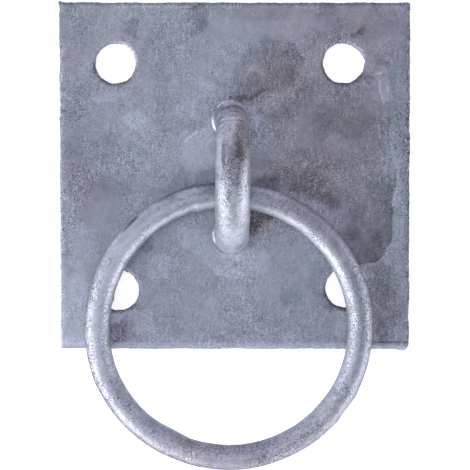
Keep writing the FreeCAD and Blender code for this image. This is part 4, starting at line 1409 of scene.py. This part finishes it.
weather(ring, RING_PAINTED_SHADE, RING_BLOOM_AND_LIGHT, {}, {}, {}, wander_reach=0.9, seed=41)
co = mesh_arrays(ring.data)[0] / MM - np.array(ring_middle)
angle = np.degrees(np.arctan2(co[:, 0], co[:, 1])) + waves(co, BAND_TURN_WAVES)
rod_line = ring_radius + np.interp(angle % 360, angles, bend, period=360)
across = (np.hypot(co[:, 0], co[:, 1]) - rod_line) / ring_rod + waves(co, BAND_ACROSS_WAVES)
across = np.where(co[:, 2] > 0, across, np.sign(across))
for label, bands in RING_BANDS.items():
    shade_mask(ring.data, label, band_strength(across, angle, bands))
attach(ring, "loose_ring")
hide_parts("ring")


# Studio
# A pale floor, plain soft lamps and the camera straight above the plate, half a metre from its face.
FLOOR_REACH = 4000
FLOOR_DROP = 0.05
PAPER_GLOW = 0.72
# The camera's place in mm, its pitch, yaw and roll in degrees, and its lens in mm on a 36 mm wide sensor.
CAMERA_PLACE = (-6.6, -5.6, 505.0)
CAMERA_PITCH = 1.29
CAMERA_YAW = -0.88
CAMERA_ROLL = 0.29
CAMERA_LENS = 133.66
SENSOR_WIDTH = 36
WORLD_GREY = "#9CA1A8"
# Each lamp's place, width and height in mm, power in watts and colour. All of them point at one place.
LAMP_AIM = (0, -15, 10)
LAMPS = {
    "key, low from the front left": ((-590, -350, 165), 860, 240, 4.7, "#FFF7E9"),
    "fill, low from the front right": ((620, -300, 165), 860, 240, 3.2, "#FFF7E9"),
    "front, low and weak": ((0, -700, 165), 600, 240, 0.6, "#FFF7E9"),
    "back, low and weak": ((-160, 660, 200), 860, 240, 0.9, "#FFFFFF"),
    "raised, from the left": ((-540, -15, 460), 380, 240, 0.8, "#FFFFFF"),
    "overhead": ((-60, 60, 900), 500, 500, 1.4, "#FFFFFF"),
}

floor_corners = [
    Vector((sx * FLOOR_REACH, sy * FLOOR_REACH, -FLOOR_DROP)) * MM
    for sx, sy in ((-1, -1), (1, -1), (1, 1), (-1, 1))
]
floor_mesh = bpy.data.meshes.new("floor")
floor_mesh.from_pydata(floor_corners, [], [(0, 1, 2, 3)])
# Matt white paper: it shows white to the camera, to gloss and through openings, and still takes a soft
# shadow.
floor_paper = bpy.data.materials.new("matt_white_paper")
floor_paper.use_nodes = True
tree = floor_paper.node_tree
tree.nodes.clear()
ray = add_node(tree, "ShaderNodeLightPath").outputs
seen = ray["Is Camera Ray"]
for kind in ("Is Glossy Ray", "Is Transmission Ray"):
    seen = add_node(tree, "ShaderNodeMath", {0: seen, 1: ray[kind]}, operation="MAXIMUM")
glow = add_node(tree, "ShaderNodeMath", {0: seen, 1: PAPER_GLOW}, operation="MULTIPLY")
paper = add_node(
    tree, "ShaderNodeBsdfPrincipled",
    {"Base Color": linear("#EDEDED"), "Roughness": 0.9, "Emission Color": linear("#FFFFFF"),
     "Emission Strength": glow},
)
add_node(tree, "ShaderNodeOutputMaterial", {"Surface": paper})
floor_mesh.materials.append(floor_paper)
floor = bpy.data.objects.new("floor", floor_mesh)
bpy.context.collection.objects.link(floor)

world = bpy.data.worlds.new("studio")
bpy.context.scene.world = world
world.use_nodes = True
tree = world.node_tree
tree.nodes.clear()
sky = add_node(tree, "ShaderNodeBackground", {"Color": linear(WORLD_GREY), "Strength": 1.0})
add_node(tree, "ShaderNodeOutputWorld", {"Surface": sky})

for name, (place, width, height, power, colour) in LAMPS.items():
    lamp = bpy.data.lights.new(name, "AREA")
    lamp.shape = "RECTANGLE"
    lamp.size = width * MM
    lamp.size_y = height * MM
    lamp.energy = power
    lamp.color = linear(colour)[:3]
    softbox = bpy.data.objects.new(name, lamp)
    softbox.location = Vector(place) * MM
    softbox.rotation_euler = (Vector(LAMP_AIM) - Vector(place)).to_track_quat("-Z", "Y").to_euler()
    bpy.context.collection.objects.link(softbox)

camera = bpy.data.objects.new("camera", bpy.data.cameras.new("camera"))
camera.data.lens = CAMERA_LENS
camera.data.sensor_width = SENSOR_WIDTH
camera.data.clip_start = 0.01
camera.matrix_world = (
    Matrix.Translation(Vector(CAMERA_PLACE) * MM)
    @ Matrix.Rotation(math.radians(-CAMERA_PITCH), 4, "X")
    @ Matrix.Rotation(math.radians(CAMERA_YAW), 4, "Y")
    @ Matrix.Rotation(math.radians(-CAMERA_ROLL), 4, "Z")
)
bpy.context.collection.objects.link(camera)
bpy.context.scene.camera = camera
bpy.context.scene.view_settings.view_transform = "Standard"
